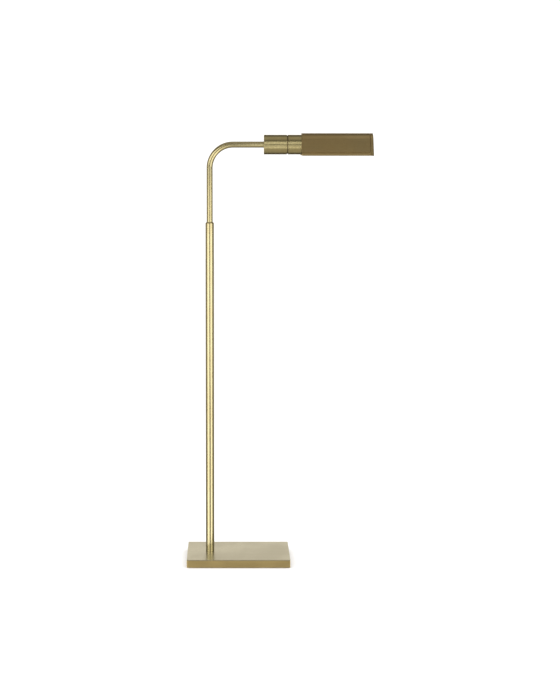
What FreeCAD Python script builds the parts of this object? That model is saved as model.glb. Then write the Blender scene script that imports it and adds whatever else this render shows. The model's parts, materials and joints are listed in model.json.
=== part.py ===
import FreeCAD, Part
import Sketcher

import math
import os

# An adjustable arm floor lamp in burnished brass: a flat weighted base, an upright pole, an
# L-shaped arm that slides and turns in the pole, and a tent-shaped shade that turns about the
# barrel at the arm's end. Millimetres, +Z up. The origin is on the floor, on the pole's axis;
# +X runs along the arm towards the shade and +Y is the side that carries the dimmer knob.

doc = FreeCAD.newDocument("ArmFloorLamp")
sheet = doc.addObject("Spreadsheet::Sheet", "Sizes")

SIZES = [
    # base
    ("base_long", 270, "base plate, length along the arm"),
    ("base_deep", 163, "base plate, front to rear"),
    ("base_thick", 20.5, "base plate, thickness of the steel"),
    ("base_edge", 0.6, "round on the base plate's edges"),
    ("felt_thick", 1.5, "felt pad, thickness"),
    ("felt_inset", 4, "felt pad, inset from the plate's edge"),
    ("pole_inset", 60, "pole axis, distance from the base's short end"),
    ("well_dia", 32, "nut well in the underside, diameter"),
    ("well_deep", 10, "nut well, depth above the plate's underside"),
    ("channel_wide", 12, "cord channel, width"),
    ("channel_deep", 15, "cord channel, depth above the plate's underside"),
    ("channel_wall", 14, "steel left between the channel and the rear edge"),
    ("cover_wide", 46, "channel cover, width"),
    ("cover_front", 24, "channel cover, reach in front of the pole axis"),
    ("cover_thick", 1.5, "channel cover, thickness"),
    ("cover_inset", 5, "cover screws, distance from the cover's edges"),
    ("screw_dia", 3, "cover screws, thread"),
    ("screw_head", 5.6, "cover screws, head diameter"),
    ("screw_long", 8, "cover screws, length below the cover"),
    ("cord_bore", 6.5, "cord bushing, bore for the mains cord"),
    ("bushing_dia", 11, "cord bushing, barrel diameter"),
    ("bushing_rim", 15, "cord bushing, rim diameter"),
    ("rim_thick", 2, "cord bushing, rim thickness"),
    # pole
    ("pole_dia", 22.2, "pole tube, outside diameter"),
    ("pole_wall", 1.5, "pole tube, wall"),
    ("pole_long", 876, "pole with its ferrule, length above the base"),
    ("ferrule_head", 4, "ferrule, height of the head above the tube"),
    ("ferrule_chamfer", 2.6, "ferrule, chamfer at the top"),
    ("ferrule_spigot", 6, "ferrule, depth of the spigot in the tube"),
    ("bush_wall", 1.6, "plain bushes between pole and arm, wall"),
    ("bush_long", 45, "friction bush, length"),
    ("bush_slit", 1.5, "friction bush, width of the slit"),
    ("guide_long", 30, "guide bush, length"),
    ("guide_lift", 10, "guide bush, height above the arm's foot"),
    ("plug_long", 24, "pole foot plug, length"),
    ("nipple_dia", 10, "threaded nipples, outside diameter"),
    ("nipple_wall", 1.5, "threaded nipples, wall"),
    ("nipple_short", 3, "threaded nipples, distance that they stop inside their plugs"),
    ("thread_proud", 1, "length of a thread that stands out of its nut"),
    ("nut_wide", 17, "nipple nuts, width across flats"),
    ("nut_thick", 5, "nipple nuts, thickness"),
    ("washer_wide", 26, "nipple washers, diameter"),
    ("washer_thick", 1.5, "nipple washers, thickness"),
    # arm
    ("arm_lift", 200, "arm axis above the pole's top, stored height"),
    ("arm_inside", 260, "length of the arm inside the pole, stored height"),
    ("arm_wall", 1.2, "arm tube, wall"),
    ("bend_radius", 60, "arm bend, radius of the centre line"),
    ("clip_thick", 1.2, "retaining rings, thickness"),
    ("clip_bite", 0.4, "retaining rings, depth of their grooves"),
    ("clip_gap", 0.1, "retaining rings, play of the guide bush between them"),
    ("arm_plug_long", 15, "plug in the arm's end, length"),
    ("arm_plug_wall", 1.75, "plug in the arm's end, wall"),
    # barrel
    ("barrel_reach", 140, "rear face of the barrel from the pole axis"),
    ("barrel_dia", 51, "barrel, outside diameter"),
    ("barrel_wall", 1.5, "barrel, wall"),
    ("barrel_floor", 3, "rear barrel, thickness of the closed end"),
    ("barrel_round", 0.8, "barrel, round on the outer edges"),
    ("rear_long", 59.5, "rear barrel, length"),
    ("front_long", 35, "front barrel, length"),
    ("swivel_gap", 2.5, "groove between the barrels, width"),
    ("groove_deep", 2, "groove between the barrels, depth to the washer"),
    ("bulkhead_thick", 6, "bulkhead that closes the rear barrel, thickness"),
    ("web_thick", 4, "front barrel, thickness of its web"),
    ("spindle_dia", 12, "swivel spindle, outside diameter"),
    ("spindle_wall", 2, "swivel spindle, wall"),
    ("spindle_grip", 7, "swivel spindle, length in the lamp holder"),
    ("swivel_nut_wide", 19, "swivel nuts, width across flats"),
    ("swivel_nut_thick", 4, "swivel nuts, thickness"),
    ("spring_high", 3, "disc spring, height as fitted"),
    ("spring_sheet", 0.9, "disc spring, thickness of its sheet"),
    ("spring_wide", 24, "disc spring, diameter"),
    ("stop_pin_dia", 3, "stop pin, diameter"),
    ("stop_pin_ring", 11, "stop pin, distance from the barrel's axis"),
    ("stop_pin_set", 4, "stop pin, length set in the bulkhead"),
    ("stop_pin_clear", 1.5, "stop pin, distance to the friction washer"),
    ("tilt_limit", 90, "shade turn to each side, degrees"),
    # dimmer
    ("dimmer_wide", 22, "dimmer module, width and length"),
    ("dimmer_gap", 1, "dimmer module, distance of its front face from the wall at its edges"),
    ("dimmer_deep", 13, "dimmer module, depth"),
    ("dimmer_bush_dia", 9, "dimmer bush, diameter"),
    ("dimmer_nut_dia", 14, "dimmer nut, diameter"),
    ("dimmer_nut_thick", 2.5, "dimmer nut, thickness"),
    ("shaft_dia", 6, "dimmer shaft, diameter"),
    ("shaft_set", 10, "dimmer shaft, length inside the module and the knob"),
    ("knob_dia", 18, "dimmer knob, diameter"),
    ("knob_long", 14, "dimmer knob, length"),
    ("knob_round", 1.5, "dimmer knob, round on its outer edge"),
    ("knob_gap", 1, "dimmer knob, distance from the nut"),
    ("grub_sunk", 1, "knob screw, depth of its outer end below the knob's surface"),
    ("grub_dia", 3, "knob screw, thread"),
    # lamp holder and bulb
    ("holder_dia", 38, "lamp holder, body diameter"),
    ("holder_gap", 1, "lamp holder, distance from the lock nut"),
    ("holder_floor", 14, "lamp holder, thickness of its floor"),
    ("holder_mouth", 20, "lamp holder, reach into the shade"),
    ("holder_bore", 28.6, "lamp holder, bore"),
    ("shoulder_gap", 0.5, "lamp holder, radial gap from its shoulder to the barrel's bore"),
    ("shoulder_thick", 3, "lamp holder, shoulder thickness"),
    ("ring_wall", 4, "shade ring, wall"),
    ("ring_thick", 6, "shade ring, thickness"),
    ("screw_shell", 0.4, "screw shell, sheet thickness"),
    ("shell_lift", 4, "screw shell, height above the holder's floor"),
    ("shell_sunk", 2, "screw shell, depth below the holder's mouth"),
    ("contact_dia", 8, "centre contact, diameter"),
    ("contact_high", 1.5, "centre contact, height"),
    ("cap_dia", 26, "bulb cap, diameter over the thread"),
    ("cap_long", 24, "bulb cap, length"),
    ("bulb_dia", 32, "bulb glass, diameter"),
    ("bulb_neck", 24, "bulb glass, neck diameter"),
    ("bulb_long", 115, "bulb glass, length"),
    ("bulb_wall", 1, "bulb glass, wall"),
    ("stem_dia", 7, "bulb stem, diameter"),
    ("stem_long", 30, "bulb stem, length"),
    ("filament_dia", 1.8, "light filaments, diameter"),
    ("filament_long", 42, "light filaments, length"),
    ("lead_dia", 4.4, "lamp holder lead, diameter"),
    # shade
    ("shade_long", 183.5, "shade, length with its end cap"),
    ("shade_crown", 29.5, "shade, outside radius of the rounded ridge"),
    ("shade_drop", 28.5, "shade, lower edge below the barrel's axis"),
    ("shade_slope", 24, "shade sides, degrees from upright"),
    ("shade_sheet", 1, "shade, sheet thickness"),
    ("hem_high", 4, "hem folded inwards at the lower edges, height"),
    ("cap_band", 9, "end cap, width of its visible band"),
    ("cap_plate", 1.2, "gable and end cap, plate thickness"),
    ("flange_sheet", 0.8, "gable and end cap flanges, thickness"),
    ("flange_long", 6, "gable and end cap flanges, length in the shell"),
    # fits
    ("run_gap", 0.05, "radial clearance of a running fit"),
    ("free_gap", 0.3, "radial clearance of a free fit"),
    ("overcut", 1, "length that a cut runs on past a surface"),
]

for row, (alias, number, meaning) in enumerate(SIZES, start=1):
    sheet.set(f"A{row}", meaning)
    sheet.set(f"B{row}", str(number))
    sheet.setAlias(f"B{row}", alias)
doc.recompute()

# Places that several pieces share, as expressions on the sheet.
PLATE_BOTTOM = "Sizes.felt_thick"
BASE_TOP = "(Sizes.felt_thick + Sizes.base_thick)"
BASE_MIDDLE = "(Sizes.felt_thick + Sizes.base_thick / 2)"
REAR_EDGE = "(Sizes.base_deep / 2)"
CHANNEL_END = f"({REAR_EDGE} - Sizes.channel_wall)"
POLE_TOP = f"({BASE_TOP} + Sizes.pole_long)"
TUBE_TOP = f"({POLE_TOP} - Sizes.ferrule_head)"
POLE_RADIUS = "(Sizes.pole_dia / 2)"
POLE_BORE = f"({POLE_RADIUS} - Sizes.pole_wall)"
ARM_RADIUS = f"({POLE_BORE} - Sizes.bush_wall - Sizes.run_gap)"
ARM_BORE = f"({ARM_RADIUS} - Sizes.arm_wall)"
ARM_AXIS = f"({POLE_TOP} + Sizes.arm_lift)"
ARM_FOOT = f"({POLE_TOP} - Sizes.arm_inside)"
GUIDE_LOW = f"({ARM_FOOT} + Sizes.guide_lift)"
GUIDE_HIGH = f"({GUIDE_LOW} + Sizes.guide_long)"
NIPPLE_RADIUS = "(Sizes.nipple_dia / 2)"
NIPPLE_BORE = f"({NIPPLE_RADIUS} - Sizes.nipple_wall)"
ARM_NIPPLE_RADIUS = f"({ARM_BORE} - Sizes.arm_plug_wall)"
ARM_NIPPLE_BORE = f"({ARM_NIPPLE_RADIUS} - Sizes.nipple_wall)"
BARREL_RADIUS = "(Sizes.barrel_dia / 2)"
BARREL_BORE = f"({BARREL_RADIUS} - Sizes.barrel_wall)"
REAR_START = "Sizes.barrel_reach"
REAR_FLOOR = f"({REAR_START} + Sizes.barrel_floor)"
ARM_NUT_BACK = f"({REAR_FLOOR} + Sizes.washer_thick)"
ARM_NIPPLE_END = f"({ARM_NUT_BACK} + Sizes.nut_thick + Sizes.thread_proud)"
REAR_END = f"({REAR_START} + Sizes.rear_long)"
BULKHEAD_BACK = f"({REAR_END} - Sizes.bulkhead_thick)"
FRONT_START = f"({REAR_END} + Sizes.swivel_gap)"
FRONT_END = f"({FRONT_START} + Sizes.front_long)"
SPINDLE_RADIUS = "(Sizes.spindle_dia / 2)"
SPINDLE_BORE = f"({SPINDLE_RADIUS} - Sizes.spindle_wall)"
SWIVEL_NUT_BACK = f"({BULKHEAD_BACK} - Sizes.spring_high - Sizes.swivel_nut_thick)"
SPINDLE_BACK = f"({SWIVEL_NUT_BACK} - Sizes.thread_proud)"
LOCKNUT_FRONT = f"({FRONT_START} + Sizes.web_thick + Sizes.swivel_nut_thick)"
HOLDER_BACK = f"({LOCKNUT_FRONT} + Sizes.holder_gap)"
HOLDER_RADIUS = "(Sizes.holder_dia / 2)"
HOLDER_SEAT = f"({HOLDER_BACK} + Sizes.holder_floor)"
HOLDER_FRONT = f"({FRONT_END} + Sizes.holder_mouth)"
BULB_START = f"({HOLDER_SEAT} + Sizes.contact_high)"
GLASS_START = f"({BULB_START} + Sizes.cap_long)"
SHELL_END = f"({FRONT_END} + Sizes.shade_long - Sizes.cap_band)"
DIMMER_AXIS = f"(({ARM_NIPPLE_END} + {SPINDLE_BACK}) / 2)"
DIMMER_HALF = "(Sizes.dimmer_wide / 2)"
DIMMER_FRONT = f"(sqrt({BARREL_BORE} ^ 2 - {DIMMER_HALF} ^ 2) - Sizes.dimmer_gap)"
DIMMER_NUT_BASE = BARREL_RADIUS
DIMMER_NUT_TOP = f"({DIMMER_NUT_BASE} + Sizes.dimmer_nut_thick)"
KNOB_BASE = f"({DIMMER_NUT_TOP} + Sizes.knob_gap)"

ON_POLE = ("0", "0", "0")
ON_BARREL = ("0", "0", ARM_AXIS)
TURNING = {"X": ("XZ_Plane", "H_Axis"), "Y": ("YZ_Plane", "H_Axis"), "Z": ("XZ_Plane", "V_Axis")}
LAID = {
    "X": FreeCAD.Rotation(FreeCAD.Vector(0, 1, 0), 90),
    "Y": FreeCAD.Rotation(FreeCAD.Vector(1, 0, 0), -90),
    "Z": FreeCAD.Rotation(),
}
nodes = []


def value(text):
    """The number that an expression on the sheet stands for."""
    return float(sheet.evalExpression(text))


def place(item, at):
    """Bind an object's place to the sheet."""
    for axis, text in zip("xyz", at):
        item.setExpression(f"Placement.Base.{axis}", text)


def new_body(label, at=ON_POLE):
    """A body that is a node of its own."""
    body = doc.addObject("PartDesign::Body", label)
    body.Label = label
    place(body, at)
    nodes.append(body)
    return body


def new_sketch(body, name, role, offset="0"):
    """A sketch on one of the body's own origin planes, offset along the plane's normal."""
    sketch = body.newObject("Sketcher::SketchObject", f"{body.Name}_{name}")
    plane = next(f for f in body.Origin.OriginFeatures if f.Role == role)
    sketch.AttachmentSupport = (plane, "")
    sketch.MapMode = "FlatFace"
    sketch.setExpression("AttachmentOffset.Base.z", offset)
    return sketch


def bind(sketch, kind, where, text):
    """Add a dimension and bind it to the sheet."""
    index = sketch.addConstraint(Sketcher.Constraint(kind, *where, value(text)))
    sketch.setExpression(f"Constraints[{index}]", text)


def bind_point(sketch, curve, end, x, y):
    """Fix one end of a curve from the sketch's origin."""
    bind(sketch, "DistanceX", (-1, 1, curve, end), x)
    bind(sketch, "DistanceY", (-1, 1, curve, end), y)


def round_between(start, end, radius, turn):
    """An arc from start to end that bends left (turn 1) or right (turn -1)."""
    chord = end.sub(start)
    half = chord.Length / 2
    left = FreeCAD.Vector(-chord.y, chord.x, 0).normalize()
    rise = math.sqrt(max(radius * radius - half * half, 0))
    centre = start.add(end).multiply(0.5).add(left.multiply(turn * rise))
    angles = [math.atan2(p.y - centre.y, p.x - centre.x) for p in (start, end)]
    circle = Part.Circle(centre, FreeCAD.Vector(0, 0, 1), radius)
    return Part.ArcOfCircle(circle, angles[0], angles[1]) if turn > 0 else (
        Part.ArcOfCircle(circle, angles[1], angles[0]))


def draw_outline(sketch, points, closed=True):
    """Draw an outline through points (x, y), or (x, y, radius, turn) where an arc arrives."""
    spots = [FreeCAD.Vector(value(p[0]), value(p[1]), 0) for p in points]
    count = len(points) if closed else len(points) - 1
    for i in range(count):
        target = points[(i + 1) % len(points)]
        start = spots[i]
        end = spots[(i + 1) % len(points)]
        if len(target) == 4:
            sketch.addGeometry(round_between(start, end, value(target[2]), target[3]), False)
        else:
            sketch.addGeometry(Part.LineSegment(start, end), False)
    backwards = [len(p) == 4 and p[3] < 0 for p in points[1:] + points[:1]]
    first = [2 if flag else 1 for flag in backwards]
    last = [1 if flag else 2 for flag in backwards]
    for i in range(count if closed else count - 1):
        after = (i + 1) % count
        sketch.addConstraint(Sketcher.Constraint("Coincident", i, last[i], after, first[after]))
    for i in range(count):
        bind_point(sketch, i, first[i], points[i][0], points[i][1])
    if not closed:
        bind_point(sketch, count - 1, last[count - 1], points[-1][0], points[-1][1])
    for i in range(count):
        target = points[(i + 1) % len(points)]
        if len(target) == 4:
            bind(sketch, "Radius", (i,), target[2])


def draw_circle(sketch, x, y, radius):
    """Draw a circle fixed from the sketch's origin."""
    circle = Part.Circle(FreeCAD.Vector(value(x), value(y), 0), FreeCAD.Vector(0, 0, 1),
                         value(radius))
    index = sketch.addGeometry(circle, False)
    bind_point(sketch, index, 3, x, y)
    bind(sketch, "Radius", (index,), radius)


def draw_rectangle(sketch, low_x, high_x, low_y, high_y):
    """Draw a rectangle between two corners."""
    draw_outline(sketch, [(low_x, low_y), (high_x, low_y), (high_x, high_y), (low_x, high_y)])


def pad(body, sketch, length):
    """Raise a sketch along its plane's normal."""
    feature = body.newObject("PartDesign::Pad", f"{sketch.Name}_pad")
    feature.Profile = sketch
    feature.setExpression("Length", length)
    doc.recompute()
    return feature


def pocket(body, sketch, depth, along_normal):
    """Cut a sketch into the body, and stop if nothing is cut."""
    before = body.Shape.Volume
    feature = body.newObject("PartDesign::Pocket", f"{sketch.Name}_cut")
    feature.Profile = sketch
    feature.Reversed = along_normal
    feature.setExpression("Length", depth)
    doc.recompute()
    if body.Shape.Volume > before - 0.001:
        raise RuntimeError(f"{feature.Name} cuts nothing")
    return feature


def turned(label, axis, outline, at=ON_POLE):
    """A body turned about an axis, from an outline of (radius, distance along the axis)."""
    body = new_body(label, at)
    role, reference = TURNING[axis]
    sketch = new_sketch(body, "outline", role)
    if axis == "Z":
        points = outline
    else:
        points = [(p[1], p[0]) if len(p) == 2 else (p[1], p[0], p[2], -p[3]) for p in outline]
    draw_outline(sketch, points)
    turn = body.newObject("PartDesign::Revolution", f"{label}_turn")
    turn.Profile = sketch
    turn.ReferenceAxis = (sketch, [reference])
    turn.Angle = 360
    doc.recompute()
    return body


def ring(label, axis, bore, radius, start, end, at=ON_POLE):
    """A plain ring or tube."""
    outline = [(bore, start), (radius, start), (radius, end), (bore, end)]
    return turned(label, axis, outline, at)


def rod(label, axis, radius, start, end, at=ON_POLE):
    """A plain round rod."""
    return turned(label, axis, [("0", start), (radius, start), (radius, end), ("0", end)], at)


def hexagon_nut(label, axis, across, bore, thick, at):
    """A hexagon nut whose axis starts at a point."""
    prism = doc.addObject("Part::Prism", f"{label}_hexagon")
    prism.Polygon = 6
    prism.setExpression("Circumradius", f"({across}) / 2 / cos(30)")
    prism.setExpression("Height", thick)
    hole = doc.addObject("Part::Cylinder", f"{label}_thread")
    hole.setExpression("Radius", bore)
    hole.setExpression("Height", thick)
    nut = doc.addObject("Part::Cut", label)
    nut.Base = prism
    nut.Tool = hole
    nut.Label = label
    nut.Placement.Rotation = LAID[axis]
    place(nut, at)
    nodes.append(nut)
    doc.recompute()
    return nut


def grouped(label, members):
    """One node that holds several alike, separate pieces."""
    for member in members:
        nodes.remove(member)
    group = doc.addObject("Part::Compound", label)
    group.Label = label
    group.Links = members
    nodes.append(group)
    doc.recompute()
    return group


# ---------------------------------------------------------------- base

COVER_SIDE = "(Sizes.cover_wide / 2)"
SCREW_X = f"({COVER_SIDE} - Sizes.cover_inset)"
SCREW_SPOTS = [
    (f"{side} * {SCREW_X}", y)
    for side in (-1, 1)
    for y in ("Sizes.cover_inset - Sizes.cover_front", f"{CHANNEL_END} - Sizes.cover_inset")
]


def make_base_plate():
    """The weighted plate, with the nut well and the cord channel in its underside."""
    body = new_body("base_plate")
    left = "-Sizes.pole_inset"
    right = "Sizes.base_long - Sizes.pole_inset"
    block = new_sketch(body, "block", "XY_Plane", PLATE_BOTTOM)
    draw_rectangle(block, left, right, f"-{REAR_EDGE}", REAR_EDGE)
    blank = pad(body, block, "Sizes.base_thick")
    bottom = value(PLATE_BOTTOM)
    edges = [
        f"Edge{i}" for i, edge in enumerate(blank.Shape.Edges, start=1)
        if edge.CenterOfMass.z > bottom + 0.001
    ]
    rounds = body.newObject("PartDesign::Fillet", "base_plate_edges")
    rounds.Base = (blank, edges)
    rounds.setExpression("Radius", "Sizes.base_edge")
    doc.recompute()

    recess = new_sketch(body, "cover_recess", "XY_Plane", PLATE_BOTTOM)
    draw_rectangle(recess, f"-{COVER_SIDE} - Sizes.free_gap", f"{COVER_SIDE} + Sizes.free_gap",
                   "-Sizes.cover_front - Sizes.free_gap", f"{CHANNEL_END} + Sizes.free_gap")
    pocket(body, recess, "Sizes.cover_thick", True)

    well = new_sketch(body, "nut_well", "XY_Plane", PLATE_BOTTOM)
    draw_circle(well, "0", "0", "Sizes.well_dia / 2")
    pocket(body, well, "Sizes.well_deep", True)

    channel = new_sketch(body, "cord_channel", "XY_Plane", PLATE_BOTTOM)
    draw_rectangle(channel, "-Sizes.channel_wide / 2", "Sizes.channel_wide / 2", "0", CHANNEL_END)
    pocket(body, channel, "Sizes.channel_deep", True)

    shaft = new_sketch(body, "nipple_hole", "XY_Plane", PLATE_BOTTOM)
    draw_circle(shaft, "0", "0", f"{NIPPLE_RADIUS} + Sizes.free_gap")
    pocket(body, shaft, "Sizes.base_thick + Sizes.overcut", True)

    inlet = new_sketch(body, "bushing_hole", "XZ_Plane", f"Sizes.overcut - {CHANNEL_END}")
    draw_circle(inlet, "0", BASE_MIDDLE, "Sizes.bushing_dia / 2")
    pocket(body, inlet, "Sizes.channel_wall + 2 * Sizes.overcut", False)

    holes = new_sketch(body, "screw_holes", "XY_Plane", PLATE_BOTTOM)
    for x, y in SCREW_SPOTS:
        draw_circle(holes, x, y, "Sizes.screw_dia / 2")
    pocket(body, holes, "Sizes.cover_thick + Sizes.screw_long + Sizes.overcut", True)


def make_channel_cover():
    """The strip that closes the nut well and the cord channel, flush with the underside."""
    body = new_body("channel_cover")
    strip = new_sketch(body, "strip", "XY_Plane", PLATE_BOTTOM)
    draw_rectangle(strip, f"-{COVER_SIDE}", COVER_SIDE, "-Sizes.cover_front", CHANNEL_END)
    pad(body, strip, "Sizes.cover_thick")
    holes = new_sketch(body, "screw_holes", "XY_Plane", PLATE_BOTTOM)
    for x, y in SCREW_SPOTS:
        draw_circle(holes, x, y, "Sizes.screw_head / 2")
    pocket(body, holes, "Sizes.cover_thick", True)


def make_cover_screws():
    """Four countersunk screws; each one's head fills its hole in the cover."""
    screws = []
    for number, (x, y) in enumerate(SCREW_SPOTS, start=1):
        outline = [
            ("0", PLATE_BOTTOM),
            ("Sizes.screw_head / 2", PLATE_BOTTOM),
            ("Sizes.screw_head / 2", f"{PLATE_BOTTOM} + Sizes.cover_thick"),
            ("Sizes.screw_dia / 2", f"{PLATE_BOTTOM} + Sizes.cover_thick"),
            ("Sizes.screw_dia / 2", f"{PLATE_BOTTOM} + Sizes.cover_thick + Sizes.screw_long"),
            ("0", f"{PLATE_BOTTOM} + Sizes.cover_thick + Sizes.screw_long"),
        ]
        screws.append(turned(f"cover_screw_{number}", "Z", outline, (x, y, "0")))
    grouped("cover_screws", screws)


def make_felt_pad():
    """The sheet of felt that the lamp rests on."""
    body = new_body("felt_pad")
    sheet_of_felt = new_sketch(body, "sheet", "XY_Plane")
    draw_rectangle(sheet_of_felt, "Sizes.felt_inset - Sizes.pole_inset",
                   "Sizes.base_long - Sizes.pole_inset - Sizes.felt_inset",
                   f"Sizes.felt_inset - {REAR_EDGE}", f"{REAR_EDGE} - Sizes.felt_inset")
    pad(body, sheet_of_felt, "Sizes.felt_thick")


def make_cord_bushing():
    """The bushing in the rear edge that the mains cord enters by."""
    outline = [
        ("Sizes.cord_bore / 2", CHANNEL_END),
        ("Sizes.bushing_dia / 2", CHANNEL_END),
        ("Sizes.bushing_dia / 2", REAR_EDGE),
        ("Sizes.bushing_rim / 2", REAR_EDGE),
        ("Sizes.bushing_rim / 2", f"{REAR_EDGE} + Sizes.rim_thick"),
        ("Sizes.cord_bore / 2", f"{REAR_EDGE} + Sizes.rim_thick"),
    ]
    turned("cord_bushing", "Y", outline, ("0", "0", BASE_MIDDLE))


def make_base():
    """The base with everything that is fixed to it."""
    make_base_plate()
    make_channel_cover()
    make_cover_screws()
    make_felt_pad()
    make_cord_bushing()


# ---------------------------------------------------------------- pole

WELL_ROOF = f"({PLATE_BOTTOM} + Sizes.well_deep)"


def make_foot_fixings():
    """Plug, nipple, washer and nut that draw the pole down on the base."""
    ring("pole_foot_plug", "Z", NIPPLE_RADIUS, POLE_BORE, BASE_TOP,
         f"{BASE_TOP} + Sizes.plug_long")
    nut_low = f"({WELL_ROOF} - Sizes.washer_thick - Sizes.nut_thick)"
    ring("foot_nipple", "Z", NIPPLE_BORE, NIPPLE_RADIUS, f"{nut_low} - Sizes.thread_proud",
         f"{BASE_TOP} + Sizes.plug_long - Sizes.nipple_short")
    ring("foot_washer", "Z", f"{NIPPLE_RADIUS} + Sizes.free_gap", "Sizes.washer_wide / 2",
         f"{WELL_ROOF} - Sizes.washer_thick", WELL_ROOF)
    hexagon_nut("foot_nut", "Z", "Sizes.nut_wide", NIPPLE_RADIUS, "Sizes.nut_thick",
                ("0", "0", nut_low))


def make_ferrule():
    """The turned mouth of the pole, chamfered down to the arm."""
    bore = f"{ARM_RADIUS} + Sizes.free_gap"
    outline = [
        (bore, f"{TUBE_TOP} - Sizes.ferrule_spigot"),
        (POLE_BORE, f"{TUBE_TOP} - Sizes.ferrule_spigot"),
        (POLE_BORE, TUBE_TOP),
        (POLE_RADIUS, TUBE_TOP),
        (POLE_RADIUS, f"{POLE_TOP} - Sizes.ferrule_chamfer"),
        (f"{POLE_RADIUS} - Sizes.ferrule_chamfer", POLE_TOP),
        (bore, POLE_TOP),
    ]
    turned("pole_ferrule", "Z", outline)


def make_friction_bush():
    """The split bush under the ferrule that grips the arm."""
    bush_top = f"({TUBE_TOP} - Sizes.ferrule_spigot)"
    bush_low = f"({bush_top} - Sizes.bush_long)"
    body = ring("friction_bush", "Z", f"{ARM_RADIUS} + Sizes.run_gap", POLE_BORE,
                bush_low, bush_top)
    slit = new_sketch(body, "slit", "XY_Plane", f"{bush_low} - Sizes.overcut")
    draw_rectangle(slit, "-Sizes.bush_slit / 2", "Sizes.bush_slit / 2", "0",
                   f"{POLE_BORE} + Sizes.overcut")
    pocket(body, slit, "Sizes.bush_long + 2 * Sizes.overcut", True)


def make_pole():
    """The pole, what is fixed in it, and the guide bush that slides in it."""
    ring("pole_tube", "Z", POLE_BORE, POLE_RADIUS, BASE_TOP, TUBE_TOP)
    make_foot_fixings()
    make_ferrule()
    make_friction_bush()
    ring("guide_bush", "Z", f"{ARM_RADIUS} + Sizes.run_gap", f"{POLE_BORE} - Sizes.run_gap",
         GUIDE_LOW, GUIDE_HIGH)


# ---------------------------------------------------------------- arm

CLIP_PLACES = [
    f"({GUIDE_LOW} - Sizes.clip_gap - Sizes.clip_thick)",
    f"({GUIDE_HIGH} + Sizes.clip_gap)",
]


def make_arm_tube():
    """The L-shaped tube: upright leg, one bend, level run to the barrel."""
    body = new_body("arm_tube")
    path = new_sketch(body, "path", "XZ_Plane")
    draw_outline(path, [
        ("0", ARM_FOOT),
        ("0", f"{ARM_AXIS} - Sizes.bend_radius"),
        ("Sizes.bend_radius", ARM_AXIS, "Sizes.bend_radius", -1),
        (REAR_START, ARM_AXIS),
    ], closed=False)
    section = new_sketch(body, "section", "XY_Plane", ARM_FOOT)
    draw_circle(section, "0", "0", ARM_RADIUS)
    draw_circle(section, "0", "0", ARM_BORE)
    pipe = body.newObject("PartDesign::AdditivePipe", "arm_tube_bend")
    pipe.Profile = section
    pipe.Spine = (path, ["Edge1", "Edge2", "Edge3"])
    doc.recompute()
    for number, low in enumerate(CLIP_PLACES, start=1):
        before = body.Shape.Volume
        notch = new_sketch(body, f"notch_{number}", "XZ_Plane")
        draw_rectangle(notch, f"{ARM_RADIUS} - Sizes.clip_bite", f"{ARM_RADIUS} + Sizes.overcut",
                       low, f"{low} + Sizes.clip_thick")
        groove = body.newObject("PartDesign::Groove", f"arm_tube_groove_{number}")
        groove.Profile = notch
        groove.ReferenceAxis = (notch, ["V_Axis"])
        groove.Angle = 360
        doc.recompute()
        if body.Shape.Volume > before - 0.001:
            raise RuntimeError("a retaining ring's groove cuts nothing")


def make_arm_clips():
    """Two retaining rings that keep the guide bush on the arm."""
    clips = [
        ring(f"arm_clip_{number}", "Z", f"{ARM_RADIUS} - Sizes.clip_bite",
             f"{POLE_BORE} - Sizes.free_gap", low, f"{low} + Sizes.clip_thick")
        for number, low in enumerate(CLIP_PLACES, start=1)
    ]
    grouped("arm_clips", clips)


def make_arm_fixings():
    """Plug, nipple, washer and nut that hold the barrel on the arm."""
    ring("arm_plug", "X", ARM_NIPPLE_RADIUS, ARM_BORE, f"{REAR_START} - Sizes.arm_plug_long",
         REAR_START, ON_BARREL)
    ring("arm_nipple", "X", ARM_NIPPLE_BORE, ARM_NIPPLE_RADIUS,
         f"{REAR_START} - Sizes.arm_plug_long + Sizes.nipple_short", ARM_NIPPLE_END, ON_BARREL)
    ring("arm_washer", "X", f"{ARM_NIPPLE_RADIUS} + Sizes.free_gap", "Sizes.washer_wide / 2",
         REAR_FLOOR, ARM_NUT_BACK, ON_BARREL)
    hexagon_nut("arm_nut", "X", "Sizes.nut_wide", ARM_NIPPLE_RADIUS, "Sizes.nut_thick",
                (ARM_NUT_BACK, "0", ARM_AXIS))


def make_arm():
    """The arm and what is fixed to its two ends."""
    make_arm_tube()
    make_arm_clips()
    make_arm_fixings()


# ---------------------------------------------------------------- barrel and swivel

def make_rear_barrel():
    """The turned can on the arm's end, with the dimmer's hole in its rear side."""
    edge = "Sizes.barrel_round"
    outline = [
        (f"{ARM_NIPPLE_RADIUS} + Sizes.free_gap", REAR_START),
        (f"{BARREL_RADIUS} - {edge}", REAR_START),
        (BARREL_RADIUS, f"{REAR_START} + {edge}", edge, 1),
        (BARREL_RADIUS, REAR_END),
        (BARREL_BORE, REAR_END),
        (BARREL_BORE, REAR_FLOOR),
        (f"{ARM_NIPPLE_RADIUS} + Sizes.free_gap", REAR_FLOOR),
    ]
    body = turned("rear_barrel", "X", outline, ON_BARREL)
    hole = new_sketch(body, "dimmer_hole", "XZ_Plane")
    draw_circle(hole, DIMMER_AXIS, "0", "Sizes.dimmer_bush_dia / 2 + Sizes.free_gap")
    pocket(body, hole, f"{BARREL_RADIUS} + Sizes.overcut", False)


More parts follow.
